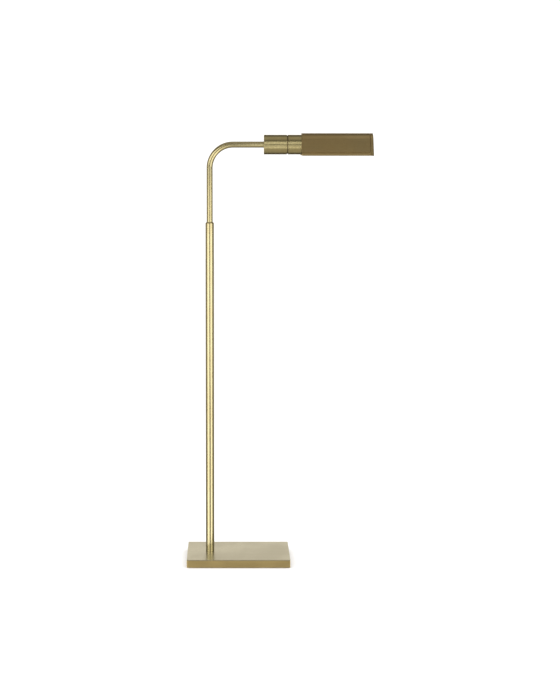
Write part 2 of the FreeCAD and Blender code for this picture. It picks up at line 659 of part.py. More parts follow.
def make_bulkhead():
    """The disc in the rear barrel's mouth: the spindle's bearing and the stop pin's seat."""
    body = ring("barrel_bulkhead", "X", f"{SPINDLE_RADIUS} + Sizes.run_gap", BARREL_BORE,
                BULKHEAD_BACK, REAR_END, ON_BARREL)
    hole = new_sketch(body, "pin_hole", "YZ_Plane", REAR_END)
    draw_circle(hole, "0", "Sizes.stop_pin_ring", "Sizes.stop_pin_dia / 2")
    pocket(body, hole, "Sizes.stop_pin_set", False)


def make_front_barrel():
    """The can on the shade, with a curved slot that the stop pin runs in."""
    edge = "Sizes.barrel_round"
    outline = [
        (SPINDLE_RADIUS, FRONT_START),
        (f"{BARREL_RADIUS} - {edge}", FRONT_START),
        (BARREL_RADIUS, f"{FRONT_START} + {edge}", edge, 1),
        (BARREL_RADIUS, FRONT_END),
        (BARREL_BORE, FRONT_END),
        (BARREL_BORE, f"{FRONT_START} + Sizes.web_thick"),
        (SPINDLE_RADIUS, f"{FRONT_START} + Sizes.web_thick"),
    ]
    body = turned("front_barrel", "X", outline, ON_BARREL)
    slot = new_sketch(body, "stop_slot", "YZ_Plane", FRONT_START)
    half = "(Sizes.stop_pin_dia / 2 + Sizes.free_gap)"
    inner = f"(Sizes.stop_pin_ring - {half})"
    outer = f"(Sizes.stop_pin_ring + {half})"
    across = "sin(Sizes.tilt_limit)"
    up = "cos(Sizes.tilt_limit)"
    end_y = f"(Sizes.stop_pin_ring * {across} + {half} * {up})"
    end_z = f"(Sizes.stop_pin_ring * {up} - {half} * {across})"
    draw_outline(slot, [
        (f"-{outer} * {across}", f"{outer} * {up}", half, -1),
        ("0", outer, outer, -1),
        (f"{outer} * {across}", f"{outer} * {up}", outer, -1),
        (end_y, end_z, half, -1),
        (f"{inner} * {across}", f"{inner} * {up}", half, -1),
        ("0", inner, inner, 1),
        (f"-{inner} * {across}", f"{inner} * {up}", inner, 1),
        (f"-{end_y}", end_z, half, -1),
    ])
    pocket(body, slot, "Sizes.web_thick", True)


def make_swivel():
    """Spindle, nuts, disc spring, friction washer and stop pin."""
    ring("swivel_spindle", "X", SPINDLE_BORE, SPINDLE_RADIUS, SPINDLE_BACK,
         f"{HOLDER_BACK} + Sizes.spindle_grip", ON_BARREL)
    hexagon_nut("swivel_nut", "X", "Sizes.swivel_nut_wide", SPINDLE_RADIUS,
                "Sizes.swivel_nut_thick", (SWIVEL_NUT_BACK, "0", ARM_AXIS))
    hexagon_nut("spindle_locknut", "X", "Sizes.swivel_nut_wide", SPINDLE_RADIUS,
                "Sizes.swivel_nut_thick",
                (f"{FRONT_START} + Sizes.web_thick", "0", ARM_AXIS))
    small = f"{SPINDLE_RADIUS} + Sizes.free_gap"
    wide = "Sizes.spring_wide / 2"
    near = f"({BULKHEAD_BACK} - Sizes.spring_high)"
    far = f"({BULKHEAD_BACK} - Sizes.run_gap)"
    turned("disc_spring", "X", [
        (small, near),
        (wide, f"{far} - Sizes.spring_sheet"),
        (wide, far),
        (small, f"{near} + Sizes.spring_sheet"),
    ], ON_BARREL)
    washer_out = f"({BARREL_RADIUS} - Sizes.groove_deep)"
    washer_in = "(Sizes.stop_pin_ring + Sizes.stop_pin_dia / 2 + Sizes.stop_pin_clear)"
    ring("swivel_washer", "X", washer_in, washer_out, f"{REAR_END} + Sizes.run_gap",
         FRONT_START, ON_BARREL)
    rod("stop_pin", "X", "Sizes.stop_pin_dia / 2", f"{REAR_END} - Sizes.stop_pin_set",
        f"{FRONT_START} + Sizes.web_thick / 2",
        ("0", "0", f"{ARM_AXIS} + Sizes.stop_pin_ring"))


def make_barrels():
    """The two halves of the barrel and the swivel between them."""
    make_rear_barrel()
    make_bulkhead()
    make_front_barrel()
    make_swivel()


# ---------------------------------------------------------------- dimmer

def make_dimmer_body():
    """The module inside the rear barrel, with the threaded bush that passes its wall."""
    body = new_body("dimmer_body", (DIMMER_AXIS, "0", ARM_AXIS))
    block = new_sketch(body, "block", "XZ_Plane", f"-{DIMMER_FRONT}")
    draw_rectangle(block, f"-{DIMMER_HALF}", DIMMER_HALF, f"-{DIMMER_HALF}", DIMMER_HALF)
    pad(body, block, "Sizes.dimmer_deep")
    bush = new_sketch(body, "bush", "XZ_Plane", f"-{DIMMER_NUT_TOP}")
    draw_circle(bush, "0", "0", "Sizes.dimmer_bush_dia / 2")
    pad(body, bush, f"{DIMMER_NUT_TOP} - {DIMMER_FRONT} + Sizes.overcut")
    bore = new_sketch(body, "bore", "XZ_Plane", f"-{DIMMER_NUT_TOP} - Sizes.overcut")
    draw_circle(bore, "0", "0", "Sizes.shaft_dia / 2 + Sizes.run_gap")
    pocket(body, bore, f"Sizes.overcut + {DIMMER_NUT_TOP} - {DIMMER_FRONT} + Sizes.shaft_set",
           True)


def make_knob():
    """Shaft, knob and its grub screw, on the axis that leaves the barrel's rear side."""
    at = (DIMMER_AXIS, "0", ARM_AXIS)
    shaft = "Sizes.shaft_dia / 2"
    shaft_end = f"({KNOB_BASE} + Sizes.shaft_set)"
    knob_end = f"({KNOB_BASE} + Sizes.knob_long)"
    rod("dimmer_shaft", "Y", shaft,
        f"{DIMMER_FRONT} - Sizes.shaft_set + Sizes.free_gap", shaft_end, at)
    outline = [
        (shaft, KNOB_BASE),
        ("Sizes.knob_dia / 2", KNOB_BASE),
        ("Sizes.knob_dia / 2", f"{knob_end} - Sizes.knob_round"),
        ("Sizes.knob_dia / 2 - Sizes.knob_round", knob_end, "Sizes.knob_round", 1),
        ("0", knob_end),
        ("0", shaft_end),
        (shaft, shaft_end),
    ]
    knob = turned("dimmer_knob", "Y", outline, at)
    screw_y = f"({KNOB_BASE} + Sizes.knob_long / 2)"
    hole = new_sketch(knob, "screw_hole", "XY_Plane")
    draw_circle(hole, "0", screw_y, "Sizes.grub_dia / 2")
    pocket(knob, hole, "Sizes.knob_dia", False)
    rod("knob_screw", "Z", "Sizes.grub_dia / 2", "Sizes.grub_sunk - Sizes.knob_dia / 2",
        f"-{shaft}", (DIMMER_AXIS, screw_y, ARM_AXIS))


def make_dimmer():
    """The dimmer in the rear barrel, with its nut and knob."""
    make_dimmer_body()
    ring("dimmer_nut", "Y", "Sizes.dimmer_bush_dia / 2", "Sizes.dimmer_nut_dia / 2",
         DIMMER_NUT_BASE, DIMMER_NUT_TOP, (DIMMER_AXIS, "0", ARM_AXIS))
    make_knob()


# ---------------------------------------------------------------- lamp holder and bulb

def make_holder():
    """The lamp holder, its screw shell and contact, and the ring that clamps the shade."""
    bore = "Sizes.holder_bore / 2"
    shoulder = f"({BARREL_BORE} - Sizes.shoulder_gap)"
    shoulder_back = f"{FRONT_END} - Sizes.shoulder_thick"
    grip_end = f"({HOLDER_BACK} + Sizes.spindle_grip)"
    turned("socket_body", "X", [
        (SPINDLE_RADIUS, HOLDER_BACK),
        (HOLDER_RADIUS, HOLDER_BACK),
        (HOLDER_RADIUS, shoulder_back),
        (shoulder, shoulder_back),
        (shoulder, FRONT_END),
        (HOLDER_RADIUS, FRONT_END),
        (HOLDER_RADIUS, HOLDER_FRONT),
        (bore, HOLDER_FRONT),
        (bore, HOLDER_SEAT),
        ("0", HOLDER_SEAT),
        ("0", grip_end),
        (SPINDLE_RADIUS, grip_end),
    ], ON_BARREL)
    ring("socket_shell", "X", f"{bore} - Sizes.screw_shell", bore,
         f"{HOLDER_SEAT} + Sizes.shell_lift", f"{HOLDER_FRONT} - Sizes.shell_sunk", ON_BARREL)
    rod("socket_contact", "X", "Sizes.contact_dia / 2", HOLDER_SEAT, BULB_START, ON_BARREL)
    gable_front = f"({FRONT_END} + Sizes.cap_plate)"
    ring("shade_ring", "X", HOLDER_RADIUS, f"{HOLDER_RADIUS} + Sizes.ring_wall", gable_front,
         f"{gable_front} + Sizes.ring_thick", ON_BARREL)
    rod("socket_lead", "X", "Sizes.lead_dia / 2", f"{DIMMER_AXIS} - {DIMMER_HALF}",
        grip_end, ON_BARREL)


def make_bulb():
    """A tubular screw-cap bulb with light filaments on a glass stem."""
    cap = "Sizes.cap_dia / 2"
    turned("bulb_cap", "X", [
        ("0", BULB_START),
        (f"{cap} / 3", BULB_START),
        (cap, f"{BULB_START} + Sizes.cap_long / 5"),
        (cap, GLASS_START),
        ("0", GLASS_START),
    ], ON_BARREL)
    wide = "(Sizes.bulb_dia / 2)"
    neck = "(Sizes.bulb_neck / 2)"
    wall = "Sizes.bulb_wall"
    tip = f"({GLASS_START} + Sizes.bulb_long)"
    neck_end = f"({GLASS_START} + {neck} / 2)"
    flare_end = f"({neck_end} + {neck})"
    dome = f"({tip} - {wide})"
    turned("bulb_glass", "X", [
        (neck, GLASS_START),
        (neck, neck_end),
        (wide, flare_end),
        (wide, dome),
        ("0", tip, wide, 1),
        ("0", f"{tip} - {wall}"),
        (f"{wide} - {wall}", dome, f"({wide} - {wall})", -1),
        (f"{wide} - {wall}", flare_end),
        (f"{neck} - {wall}", neck_end),
        (f"{neck} - {wall}", GLASS_START),
    ], ON_BARREL)
    stem_end = f"({GLASS_START} + Sizes.stem_long)"
    rod("bulb_stem", "X", "Sizes.stem_dia / 2", GLASS_START, stem_end, ON_BARREL)
    filaments = []
    reach = "(Sizes.stem_dia / 2 + Sizes.filament_dia / 2)"
    for number in range(4):
        angle = 45 + 90 * number
        spot = (
            "0",
            f"{reach} * cos({angle})",
            f"{ARM_AXIS} + {reach} * sin({angle})",
        )
        filaments.append(rod(f"filament_{number}", "X", "Sizes.filament_dia / 2",
                             f"{GLASS_START} + Sizes.stem_long / 2",
                             f"{GLASS_START} + Sizes.stem_long / 2 + Sizes.filament_long", spot))
    grouped("bulb_filaments", filaments)


# ---------------------------------------------------------------- shade

SLOPE = "Sizes.shade_slope"
LOWER_EDGE = "(-Sizes.shade_drop)"
SHADE_SKIN = "Sizes.shade_crown"
SHADE_LINING = "(Sizes.shade_crown - Sizes.shade_sheet)"
FLANGE_LINING = "(Sizes.shade_crown - Sizes.shade_sheet - Sizes.flange_sheet)"


def side_at(radius, height):
    """How far out a flat side lies at a height, for a ridge of this radius."""
    return f"(({radius}) / cos({SLOPE}) - ({height}) * tan({SLOPE}))"


def tent(radius, low):
    """The closed section of the shade: two flat sides under a rounded ridge."""
    shoulder_y = f"(({radius}) * cos({SLOPE}))"
    shoulder_z = f"(({radius}) * sin({SLOPE}))"
    return [
        (side_at(radius, low), low),
        (shoulder_y, shoulder_z),
        (f"-{shoulder_y}", shoulder_z, radius, 1),
        (f"-{side_at(radius, low)}", low),
    ]


def make_shade_shell():
    """The bent sheet, open below, with its lower edges folded inwards as a hem."""
    body = new_body("shade_shell", ON_BARREL)
    hem_top = f"({LOWER_EDGE} + Sizes.hem_high)"
    hem = "(Sizes.shade_crown - 2 * Sizes.shade_sheet)"
    skin = tent(SHADE_SKIN, LOWER_EDGE)
    lining = tent(SHADE_LINING, hem_top)
    section = new_sketch(body, "section", "YZ_Plane", FRONT_END)
    draw_outline(section, [
        skin[0],
        skin[1],
        skin[2],
        skin[3],
        (f"-{side_at(hem, LOWER_EDGE)}", LOWER_EDGE),
        (f"-{side_at(hem, hem_top)}", hem_top),
        lining[3],
        (lining[2][0], lining[2][1]),
        (lining[1][0], lining[1][1], SHADE_LINING, -1),
        lining[0],
        (side_at(hem, hem_top), hem_top),
        (side_at(hem, LOWER_EDGE), LOWER_EDGE),
    ])
    pad(body, section, "Sizes.shade_long - Sizes.cap_band")


def make_shade_gable():
    """The pan that closes the shade at the barrel and sits on the lamp holder's shoulder."""
    body = new_body("shade_gable", ON_BARREL)
    floor = f"({LOWER_EDGE} + Sizes.hem_high)"
    length = "(Sizes.cap_plate + Sizes.flange_long)"
    pan = new_sketch(body, "pan", "YZ_Plane", FRONT_END)
    draw_outline(pan, tent(SHADE_LINING, floor))
    pad(body, pan, length)
    hollow = new_sketch(body, "hollow", "YZ_Plane", f"{FRONT_END} + {length}")
    draw_outline(hollow, tent(FLANGE_LINING, f"({floor} + Sizes.flange_sheet)"))
    pocket(body, hollow, "Sizes.flange_long", False)
    hole = new_sketch(body, "holder_hole", "YZ_Plane", f"{FRONT_END} + {length}")
    draw_circle(hole, "0", "0", f"{HOLDER_RADIUS} + Sizes.free_gap")
    pocket(body, hole, f"{length} + Sizes.overcut", False)


def make_shade_end_cap():
    """The cap at the free end: a visible band, and a flange soldered inside the shell."""
    body = new_body("shade_end_cap", ON_BARREL)
    floor = f"({LOWER_EDGE} + Sizes.hem_high)"
    band = new_sketch(body, "band", "YZ_Plane", SHELL_END)
    draw_outline(band, tent(SHADE_SKIN, LOWER_EDGE))
    pad(body, band, "Sizes.cap_band")
    flange_start = f"{SHELL_END} - Sizes.flange_long"
    flange = new_sketch(body, "flange", "YZ_Plane", flange_start)
    draw_outline(flange, tent(SHADE_LINING, floor))
    pad(body, flange, "Sizes.flange_long")
    hollow = new_sketch(body, "hollow", "YZ_Plane", flange_start)
    draw_outline(hollow, tent(FLANGE_LINING, f"({floor} + Sizes.flange_sheet)"))
    pocket(body, hollow, "Sizes.flange_long + Sizes.cap_band - Sizes.cap_plate", True)


def make_shade():
    """The shade's three pieces of sheet."""
    make_shade_shell()
    make_shade_gable()
    make_shade_end_cap()


# ---------------------------------------------------------------- checks and files

def check_and_write():
    """Stop on anything failed or empty, then write one file for each node."""
    doc.recompute()
    for item in doc.Objects:
        if "Invalid" in item.State or "Error" in item.State:
            raise RuntimeError(f"{item.Name} failed: {item.State}")
    for node in nodes:
        if node.Shape.isNull() or not node.Shape.isValid():
            raise RuntimeError(f"{node.Label} has no valid shape")
    os.makedirs("parts", exist_ok=True)
    for node in nodes:
        node.Shape.exportStep(f"parts/{node.Label}.step")
        print(f"{node.Label}: {node.Shape.Volume / 1000:.2f} cm3")
    print(f"{len(nodes)} nodes")


make_base()
make_pole()
make_arm()
make_barrels()
make_dimmer()
make_holder()
make_bulb()
make_shade()
check_and_write()
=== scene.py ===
# %% [markdown]
# # Adjustable arm floor lamp
#
# A reading lamp in burnished brass: a flat weighted base, an upright pole, an L-shaped arm that
# slides and turns in the pole, and a long tent-shaped shade that turns about the barrel at the
# arm's end. The lesson builds the lamp piece by piece, then the brass, then the studio.
#
# The sizes were settled before, in the engineering model. It is loaded here as a fixed frame:
# its solids give every place and size in metres, and the pieces made below stand for them.

# %% Load the fixed frame
import json
import math

import bmesh
import bpy
from mathutils import Matrix, Vector


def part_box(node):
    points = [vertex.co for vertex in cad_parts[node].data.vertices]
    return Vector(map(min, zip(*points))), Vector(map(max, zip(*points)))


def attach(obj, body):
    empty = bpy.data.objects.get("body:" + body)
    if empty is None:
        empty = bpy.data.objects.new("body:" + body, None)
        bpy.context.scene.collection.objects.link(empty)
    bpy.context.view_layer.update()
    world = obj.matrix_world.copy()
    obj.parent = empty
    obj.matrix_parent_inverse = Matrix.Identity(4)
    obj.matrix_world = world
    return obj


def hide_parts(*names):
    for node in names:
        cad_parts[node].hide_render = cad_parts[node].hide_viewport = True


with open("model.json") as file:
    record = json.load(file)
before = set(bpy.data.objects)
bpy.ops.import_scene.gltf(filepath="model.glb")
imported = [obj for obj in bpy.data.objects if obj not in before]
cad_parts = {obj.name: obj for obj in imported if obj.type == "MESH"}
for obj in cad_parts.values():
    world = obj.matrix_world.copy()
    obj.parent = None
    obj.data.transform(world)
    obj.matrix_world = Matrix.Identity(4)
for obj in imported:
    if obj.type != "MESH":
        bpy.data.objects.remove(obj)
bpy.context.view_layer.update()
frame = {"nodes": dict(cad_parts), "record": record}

# %% [markdown]
# ## The sizes that the pieces share
#
# The frame gives the box of each solid. A round piece's radius is half of its box, and the
# barrel's axis is the middle of the rear barrel's box. +Z is up along the pole, +X runs along
# the arm, and -Y is the front of the lamp.

# %% Read the shared sizes
base_low, base_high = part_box("base_plate")
pole_low, pole_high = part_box("pole_tube")
ferrule_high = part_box("pole_ferrule")[1]
arm_low, arm_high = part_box("arm_tube")
rear_low, rear_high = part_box("rear_barrel")
front_low, front_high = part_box("front_barrel")
shell_low, shell_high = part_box("shade_shell")
cap_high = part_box("shade_end_cap")[1]
holder_low, holder_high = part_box("socket_body")
pole_radius = pole_high.x
arm_radius = -arm_low.x
barrel_radius = rear_high.y
barrel_axis = (rear_low.z + rear_high.z) / 2
arm_axis = arm_high.z - arm_radius
bend_radius = 0.060
print(f"pole {2000 * pole_radius:.1f} mm, arm {2000 * arm_radius:.1f} mm, "
      f"barrel {2000 * barrel_radius:.1f} mm, axis {1000 * barrel_axis:.1f} mm up")

# %% [markdown]
# ## Maths on sockets
#
# A finish is a small program of nodes. Written node by node it is long and hard to read, so one
# class wraps a socket and lets Python's own signs add the Math nodes: `1 - mask * 0.4` makes
# two of them. The reflected forms, such as `__rsub__`, are for a number on the left.

# %% A socket that can be calculated with
class Wire:
    """A socket of a finish. Sums, products and comparisons of wires add Math nodes."""

    def __init__(self, finish, socket):
        self.finish = finish
        self.socket = socket

    def math(self, operation, *terms):
        settings = {"operation": operation}
        return self.finish.node("ShaderNodeMath", settings, dict(enumerate(terms)))

    def __add__(self, other):
        return self.math("ADD", self, other)

    def __radd__(self, other):
        return self.math("ADD", other, self)

    def __sub__(self, other):
        return self.math("SUBTRACT", self, other)

    def __rsub__(self, other):
        return self.math("SUBTRACT", other, self)

    def __mul__(self, other):
        return self.math("MULTIPLY", self, other)

    def __rmul__(self, other):
        return self.math("MULTIPLY", other, self)

    def __truediv__(self, other):
        return self.math("DIVIDE", self, other)

    def __pow__(self, other):
        return self.math("POWER", self, other)

    def least(self, other):
        return self.math("MINIMUM", self, other)

    def most(self, other):
        return self.math("MAXIMUM", self, other)

    def size(self):
        return self.math("ABSOLUTE", self)

    def rising(self, low, high):
        """0 below low, 1 above high, and smooth between."""
        ends = {"Value": self, "From Min": low, "From Max": high}
        return self.finish.node("ShaderNodeMapRange", {"interpolation_type": "SMOOTHSTEP"}, ends)


# %% [markdown]
# ## A finish
#
# Every other node comes from one method. It takes the node's type, its settings, which are set
# first because they can change the sockets, and what goes into its sockets: a wire or a value.
# The finish reads Object coordinates. Every piece's object sits at the origin, so these are
# places on the lamp in metres, and a scale of 2000 means a grain of half a millimetre.

# %% A material under construction
class Finish:
    """A material, or the world, that is built from wires."""

    def __init__(self, name, world=None):
        self.material = world or bpy.data.materials.new(name)
        self.material.use_nodes = True
        self.tree = self.material.node_tree
        self.tree.nodes.clear()

    def node(self, kind, settings=None, sockets=None, output=0):
        made = self.tree.nodes.new(kind)
        for name, setting in (settings or {}).items():
            setattr(made, name, setting)
        for name, entry in (sockets or {}).items():
            if isinstance(entry, Wire):
                self.tree.links.new(entry.socket, made.inputs[name])
            else:
                made.inputs[name].default_value = entry
        return Wire(self, made.outputs[output]) if made.outputs else made

    def place(self):
        return self.node("ShaderNodeTexCoord", output="Object")

    def parts(self, vector):
        split = self.node("ShaderNodeSeparateXYZ", sockets={0: vector}).socket.node
        return [Wire(self, split.outputs[i]) for i in range(3)]

    def vector(self, x, y, z):
        return self.node("ShaderNodeCombineXYZ", sockets={0: x, 1: y, 2: z})

    def grain(self, vector, scale, detail=2.0, roughness=0.5):
        """Noise from 0 to 1 around a half."""
        ends = {"Vector": vector, "Scale": scale, "Detail": detail, "Roughness": roughness}
        return self.node("ShaderNodeTexNoise", sockets=ends)

    def blend(self, mask, first, second):
        """A colour that goes from first to second."""
        colours = [c if isinstance(c, Wire) else (*c, 1.0) for c in (first, second)]
        return self.node("ShaderNodeMix", {"data_type": "RGBA"},
                         {0: mask, 6: colours[0], 7: colours[1]}, output=2)

    def bump(self, height, depth, strength=1.0):
        ends = {"Height": height, "Distance": depth, "Strength": strength}
        return self.node("ShaderNodeBump", sockets=ends)

    def surface(self, **sockets):
        """The Principled shader; a word's underscores are the spaces of its socket."""
        named = {word.replace("_", " "): entry for word, entry in sockets.items()}
        shader = self.node("ShaderNodeBsdfPrincipled", sockets=named)
        self.node("ShaderNodeOutputMaterial", sockets={"Surface": shader})
        return self.material


# %% [markdown]
# ## Brass that was brushed lengthwise
#
# The pole, the arm, the base and the shade are brushed with an abrasive belt, so fine lines run
# along them, then burnished and lacquered. Brass is a metal: Metallic is 1 and its colour is the
# tint of its reflections. The lines are noise that is stretched a few hundred times along the
# brushing, and they go to a very shallow bump. Wider noises give what age gives: a slightly
# browner tint in soft patches, a little difference in gloss, and a few dark specks. The base's
# sides get a warmer, brighter tint than its paler top, which is painted light: the two tints of
# one brass stand in for the different reflections of the sides and the top. So the finish can
# take a height below which its tint changes.

# %% Brushed brass
def brushed_brass(name, tint, aged, lines, polish, lacquer=0.3, edges=None):
    """Lengthwise brushed brass. lines(finish, place) gives the stretched coordinates.

    edges is (height, tint): below that height the brass has a warmer, brighter tint, which is
    painted light that sets the base's sides apart from its top.
    """
    finish = Finish(name)
    place = finish.place()
    stretched = lines(finish, place)
    fine = finish.grain(stretched, 1.0, detail=3.0, roughness=0.6)
    broad = finish.grain(stretched, 0.22, detail=2.0)
    patina = finish.grain(place, 9.0, detail=4.0, roughness=0.6).rising(0.36, 0.68)
    specks = finish.grain(place, 420.0, detail=2.0).rising(0.70, 0.78)
    worn = finish.blend(patina, tint, aged)
    if edges:
        # Below the height, the sides get the warmer tint: painted light on the base's sides.
        rim = 1 - finish.parts(place)[2].rising(edges[0] - 0.0008, edges[0])
        worn = finish.blend(rim, worn, edges[1])
    lined = finish.blend((broad - 0.5) * 0.4 + 0.12, worn, [0.72 * c for c in aged])
    dark = finish.blend(specks * 0.35, lined, [0.4 * c for c in aged])
    return finish.surface(
        Base_Color=dark,
        Metallic=1.0,
        Coat_Weight=lacquer,
        Coat_Roughness=0.12,
        Roughness=polish + patina * 0.07 + (fine - 0.5) * 0.10 + specks * 0.15,
        Normal=finish.bump(fine, 0.00001, 0.5),
    )


# %% [markdown]
# The lines follow each piece: up the pole, along the shade and the base, and round the bend of
# the arm. For the arm, the distance from the bend's centre goes on as the distance across the
# straight runs, because the part of a place that is outside the bend is clamped away.

# %% The ways that the lines run
def up_the_pole(finish, place):
    x, y, z = finish.parts(place)
    return finish.vector(x * 1500.0, y * 1500.0, z * 7.0)


def along_the_lamp(finish, place):
    x, y, z = finish.parts(place)
    return finish.vector(x * 7.0, y * 1500.0, z * 1500.0)


def round_the_bend(finish, place):
    x, y, z = finish.parts(place)
    inside = (x - bend_radius).least(0.0)
    above = (z - (arm_axis - bend_radius)).most(0.0)
    across = (inside * inside + above * above) ** 0.5
    return finish.vector(across * 1500.0, y * 1500.0, (x + z) * 7.0)


POLE_TINT = (0.60, 0.53, 0.30)
SHADE_TINT = (0.46, 0.35, 0.165)
BASE_TINT = (0.52, 0.485, 0.33)
AGED = (0.40, 0.29, 0.125)
pole_brass = brushed_brass("pole_brass", POLE_TINT, (0.57, 0.48, 0.25), up_the_pole, 0.16)
arm_brass = brushed_brass("arm_brass", POLE_TINT, (0.54, 0.46, 0.23), round_the_bend, 0.19)
# The base's warmer side tint, set apart from its paler top, is painted light.
base_brass = brushed_brass("base_brass", BASE_TINT, (0.48, 0.44, 0.29), along_the_lamp, 0.28,
                           lacquer=0.5, edges=(base_high.z - 0.0010, (0.84, 0.64, 0.27)))
shade_brass = brushed_brass("shade_brass", SHADE_TINT, AGED, along_the_lamp, 0.30)
print("brushed:", pole_brass.name, arm_brass.name, base_brass.name, shade_brass.name)


# %% [markdown]
# ## Brass that was turned
#
# The barrel and the knob come off a lathe. The tool leaves rings round the axis, on the wall and
# on the flat ends alike. Both come from one pattern: the coordinates are the distance along the
# axis and the distance from it, so the noise can't change round the piece. The washer in the
# groove between the barrel's halves gets a much darker tint, which is painted shade for the groove.

# %% Turned brass
def turned_brass(name, axis, centre, tint, aged, polish=0.16):
    """Brass with rings round an axis through a centre."""
    finish = Finish(name)
    place = finish.place()
    parts = finish.parts(place)
    along = parts[axis]
    off = [parts[i] - centre[i] for i in range(3) if i != axis]
    away = (off[0] * off[0] + off[1] * off[1]) ** 0.5
    rings = finish.grain(finish.vector(along * 1400.0, away * 1400.0, 0.0), 1.0, 3.0, 0.6)
    bands = finish.grain(finish.vector(along * 160.0, away * 160.0, 0.0), 1.0, 2.0)
    patina = finish.grain(place, 30.0, detail=4.0, roughness=0.6).rising(0.38, 0.70)
    worn = finish.blend(patina * 0.4, tint, aged)
    ringed = finish.blend((bands - 0.5).size() * 0.9, worn, [0.7 * c for c in aged])
    return finish.surface(
        Base_Color=ringed,
        Metallic=1.0,
        Coat_Weight=0.2,
        Coat_Roughness=0.12,
        Roughness=polish + patina * 0.06 + (rings - 0.5) * 0.10,
        Normal=finish.bump(rings, 0.00018, 0.6),
    )


barrel_centre = (0.0, 0.0, barrel_axis)
knob_low, knob_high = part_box("dimmer_knob")
knob_centre = ((knob_low.x + knob_high.x) / 2, 0.0, barrel_axis)
BARREL_TINT = (0.50, 0.43, 0.215)
barrel_brass = turned_brass("barrel_brass", 0, barrel_centre, BARREL_TINT, (0.41, 0.33, 0.145), 0.19)
# The washer's dark tint is painted shade for the narrow groove between the barrel's halves.
groove_shade_brass = turned_brass("groove_shade_brass", 0, barrel_centre, (0.22, 0.17, 0.08),
                            (0.16, 0.12, 0.055), polish=0.45)
knob_brass = turned_brass("knob_brass", 1, knob_centre, BARREL_TINT, (0.41, 0.33, 0.145))
ferrule_brass = turned_brass("ferrule_brass", 2, (0.0, 0.0, 0.0), POLE_TINT,
                             (0.46, 0.36, 0.17))
print("turned:", barrel_brass.name, groove_shade_brass.name, knob_brass.name, ferrule_brass.name)


# %% [markdown]
# ## The plain finishes
#
# What holds the lamp together is zinc plated steel, the sliding bushes are nylon, and the lamp
# holder, the shade's ring and the cord's bushing are black moulded resin. Each has the small
# irregularity of its own making: crystals in the zinc and a fine moulded texture in the rest.

# %% Zinc, nylon and resin
def zinc_steel():
    finish = Finish("zinc_steel")
    place = finish.place()
    spangle = finish.grain(place, 260.0, detail=3.0)
    cloud = finish.grain(place, 40.0, detail=3.0)
    colour = finish.blend(cloud, (0.66, 0.66, 0.64), (0.50, 0.51, 0.52))
    return finish.surface(
        Base_Color=colour,
        Metallic=1.0,
        Roughness=0.28 + spangle * 0.18,
        Normal=finish.bump(spangle, 0.00003, 0.5),
    )


def moulded(name, tint, pale, gloss, depth):
    finish = Finish(name)
    place = finish.place()
    texture = finish.grain(place, 1800.0, detail=2.0)
    cloud = finish.grain(place, 60.0, detail=3.0)
    return finish.surface(
        Base_Color=finish.blend(cloud * 0.6, tint, pale),
        Roughness=gloss + (texture - 0.5) * 0.16,
        Normal=finish.bump(texture, depth, 0.6),
    )


zinc = zinc_steel()
black_resin = moulded("black_resin", (0.018, 0.017, 0.016), (0.035, 0.033, 0.031), 0.42, 0.00003)
nylon = moulded("white_nylon", (0.84, 0.83, 0.78), (0.76, 0.75, 0.70), 0.48, 0.00002)
print("plain:", zinc.name, black_resin.name, nylon.name)


# %% [markdown]
# The felt is pressed wool: two noises, one stretched each way, stand for the matted fibres, and
# a constant sheen gives the pale rim that short fibres have against the light.

# %% Felt
def pressed_felt():
    finish = Finish("pressed_felt")
    place = finish.place()
    x, y, z = finish.parts(place)
    one_way = finish.grain(finish.vector(x * 900.0, y * 3200.0, z * 2500.0), 1.0, 3.0)
    other_way = finish.grain(finish.vector(x * 3200.0, y * 900.0, z * 2500.0), 1.0, 3.0)
    fibres = one_way.most(other_way)
    cloud = finish.grain(place, 35.0, detail=3.0)
    colour = finish.blend(fibres.rising(0.45, 0.72), (0.030, 0.029, 0.026), (0.085, 0.082, 0.074))
    return finish.surface(
        Base_Color=finish.blend(cloud * 0.4, colour, (0.06, 0.055, 0.05)),
        Roughness=0.95,
        Sheen_Weight=0.35,
        Sheen_Roughness=0.5,
        Normal=finish.bump(fibres, 0.0003, 0.7),
    )


felt = pressed_felt()
print("felt:", felt.name)


# %% [markdown]
# ## The bulb's finishes
#
# The bulb is a long opal one. Its glass has a fine white coat inside, so it is nearly opaque
# with a glossy skin, and the light filaments on their clear stem show only faintly through it.
# That is a Principled surface with a constant Coat and an Alpha a little below 1.

# %% Opal glass, clear glass and filament
def opal_glass():
    finish = Finish("opal_glass")
    place = finish.place()
    cloud = finish.grain(place, 50.0, detail=3.0)
    return finish.surface(
        Base_Color=finish.blend(cloud, (0.74, 0.73, 0.69), (0.68, 0.67, 0.62)),
        Roughness=0.22 + cloud * 0.08,
        Coat_Weight=0.6,
        Coat_Roughness=0.04,
        Alpha=0.93,
    )


def clear_glass():
    finish = Finish("clear_glass")
    seeds = finish.grain(finish.place(), 700.0, detail=2.0)
    return finish.surface(
        Base_Color=finish.blend(seeds, (0.93, 0.95, 0.95), (0.86, 0.89, 0.89)),
        Roughness=0.04 + seeds * 0.04,
        Transmission_Weight=0.9,
        IOR=1.47,
    )


def filament_coat():
    finish = Finish("filament_coat")
    beads = finish.grain(finish.place(), 1500.0, detail=2.0)
    return finish.surface(
        Base_Color=finish.blend(beads, (0.92, 0.76, 0.30), (0.80, 0.60, 0.18)),
        Roughness=0.5 + beads * 0.2,
        Normal=finish.bump(beads, 0.0001, 0.5),
    )


opal = opal_glass()
clear = clear_glass()
phosphor = filament_coat()
print("bulb:", opal.name, clear.name, phosphor.name)

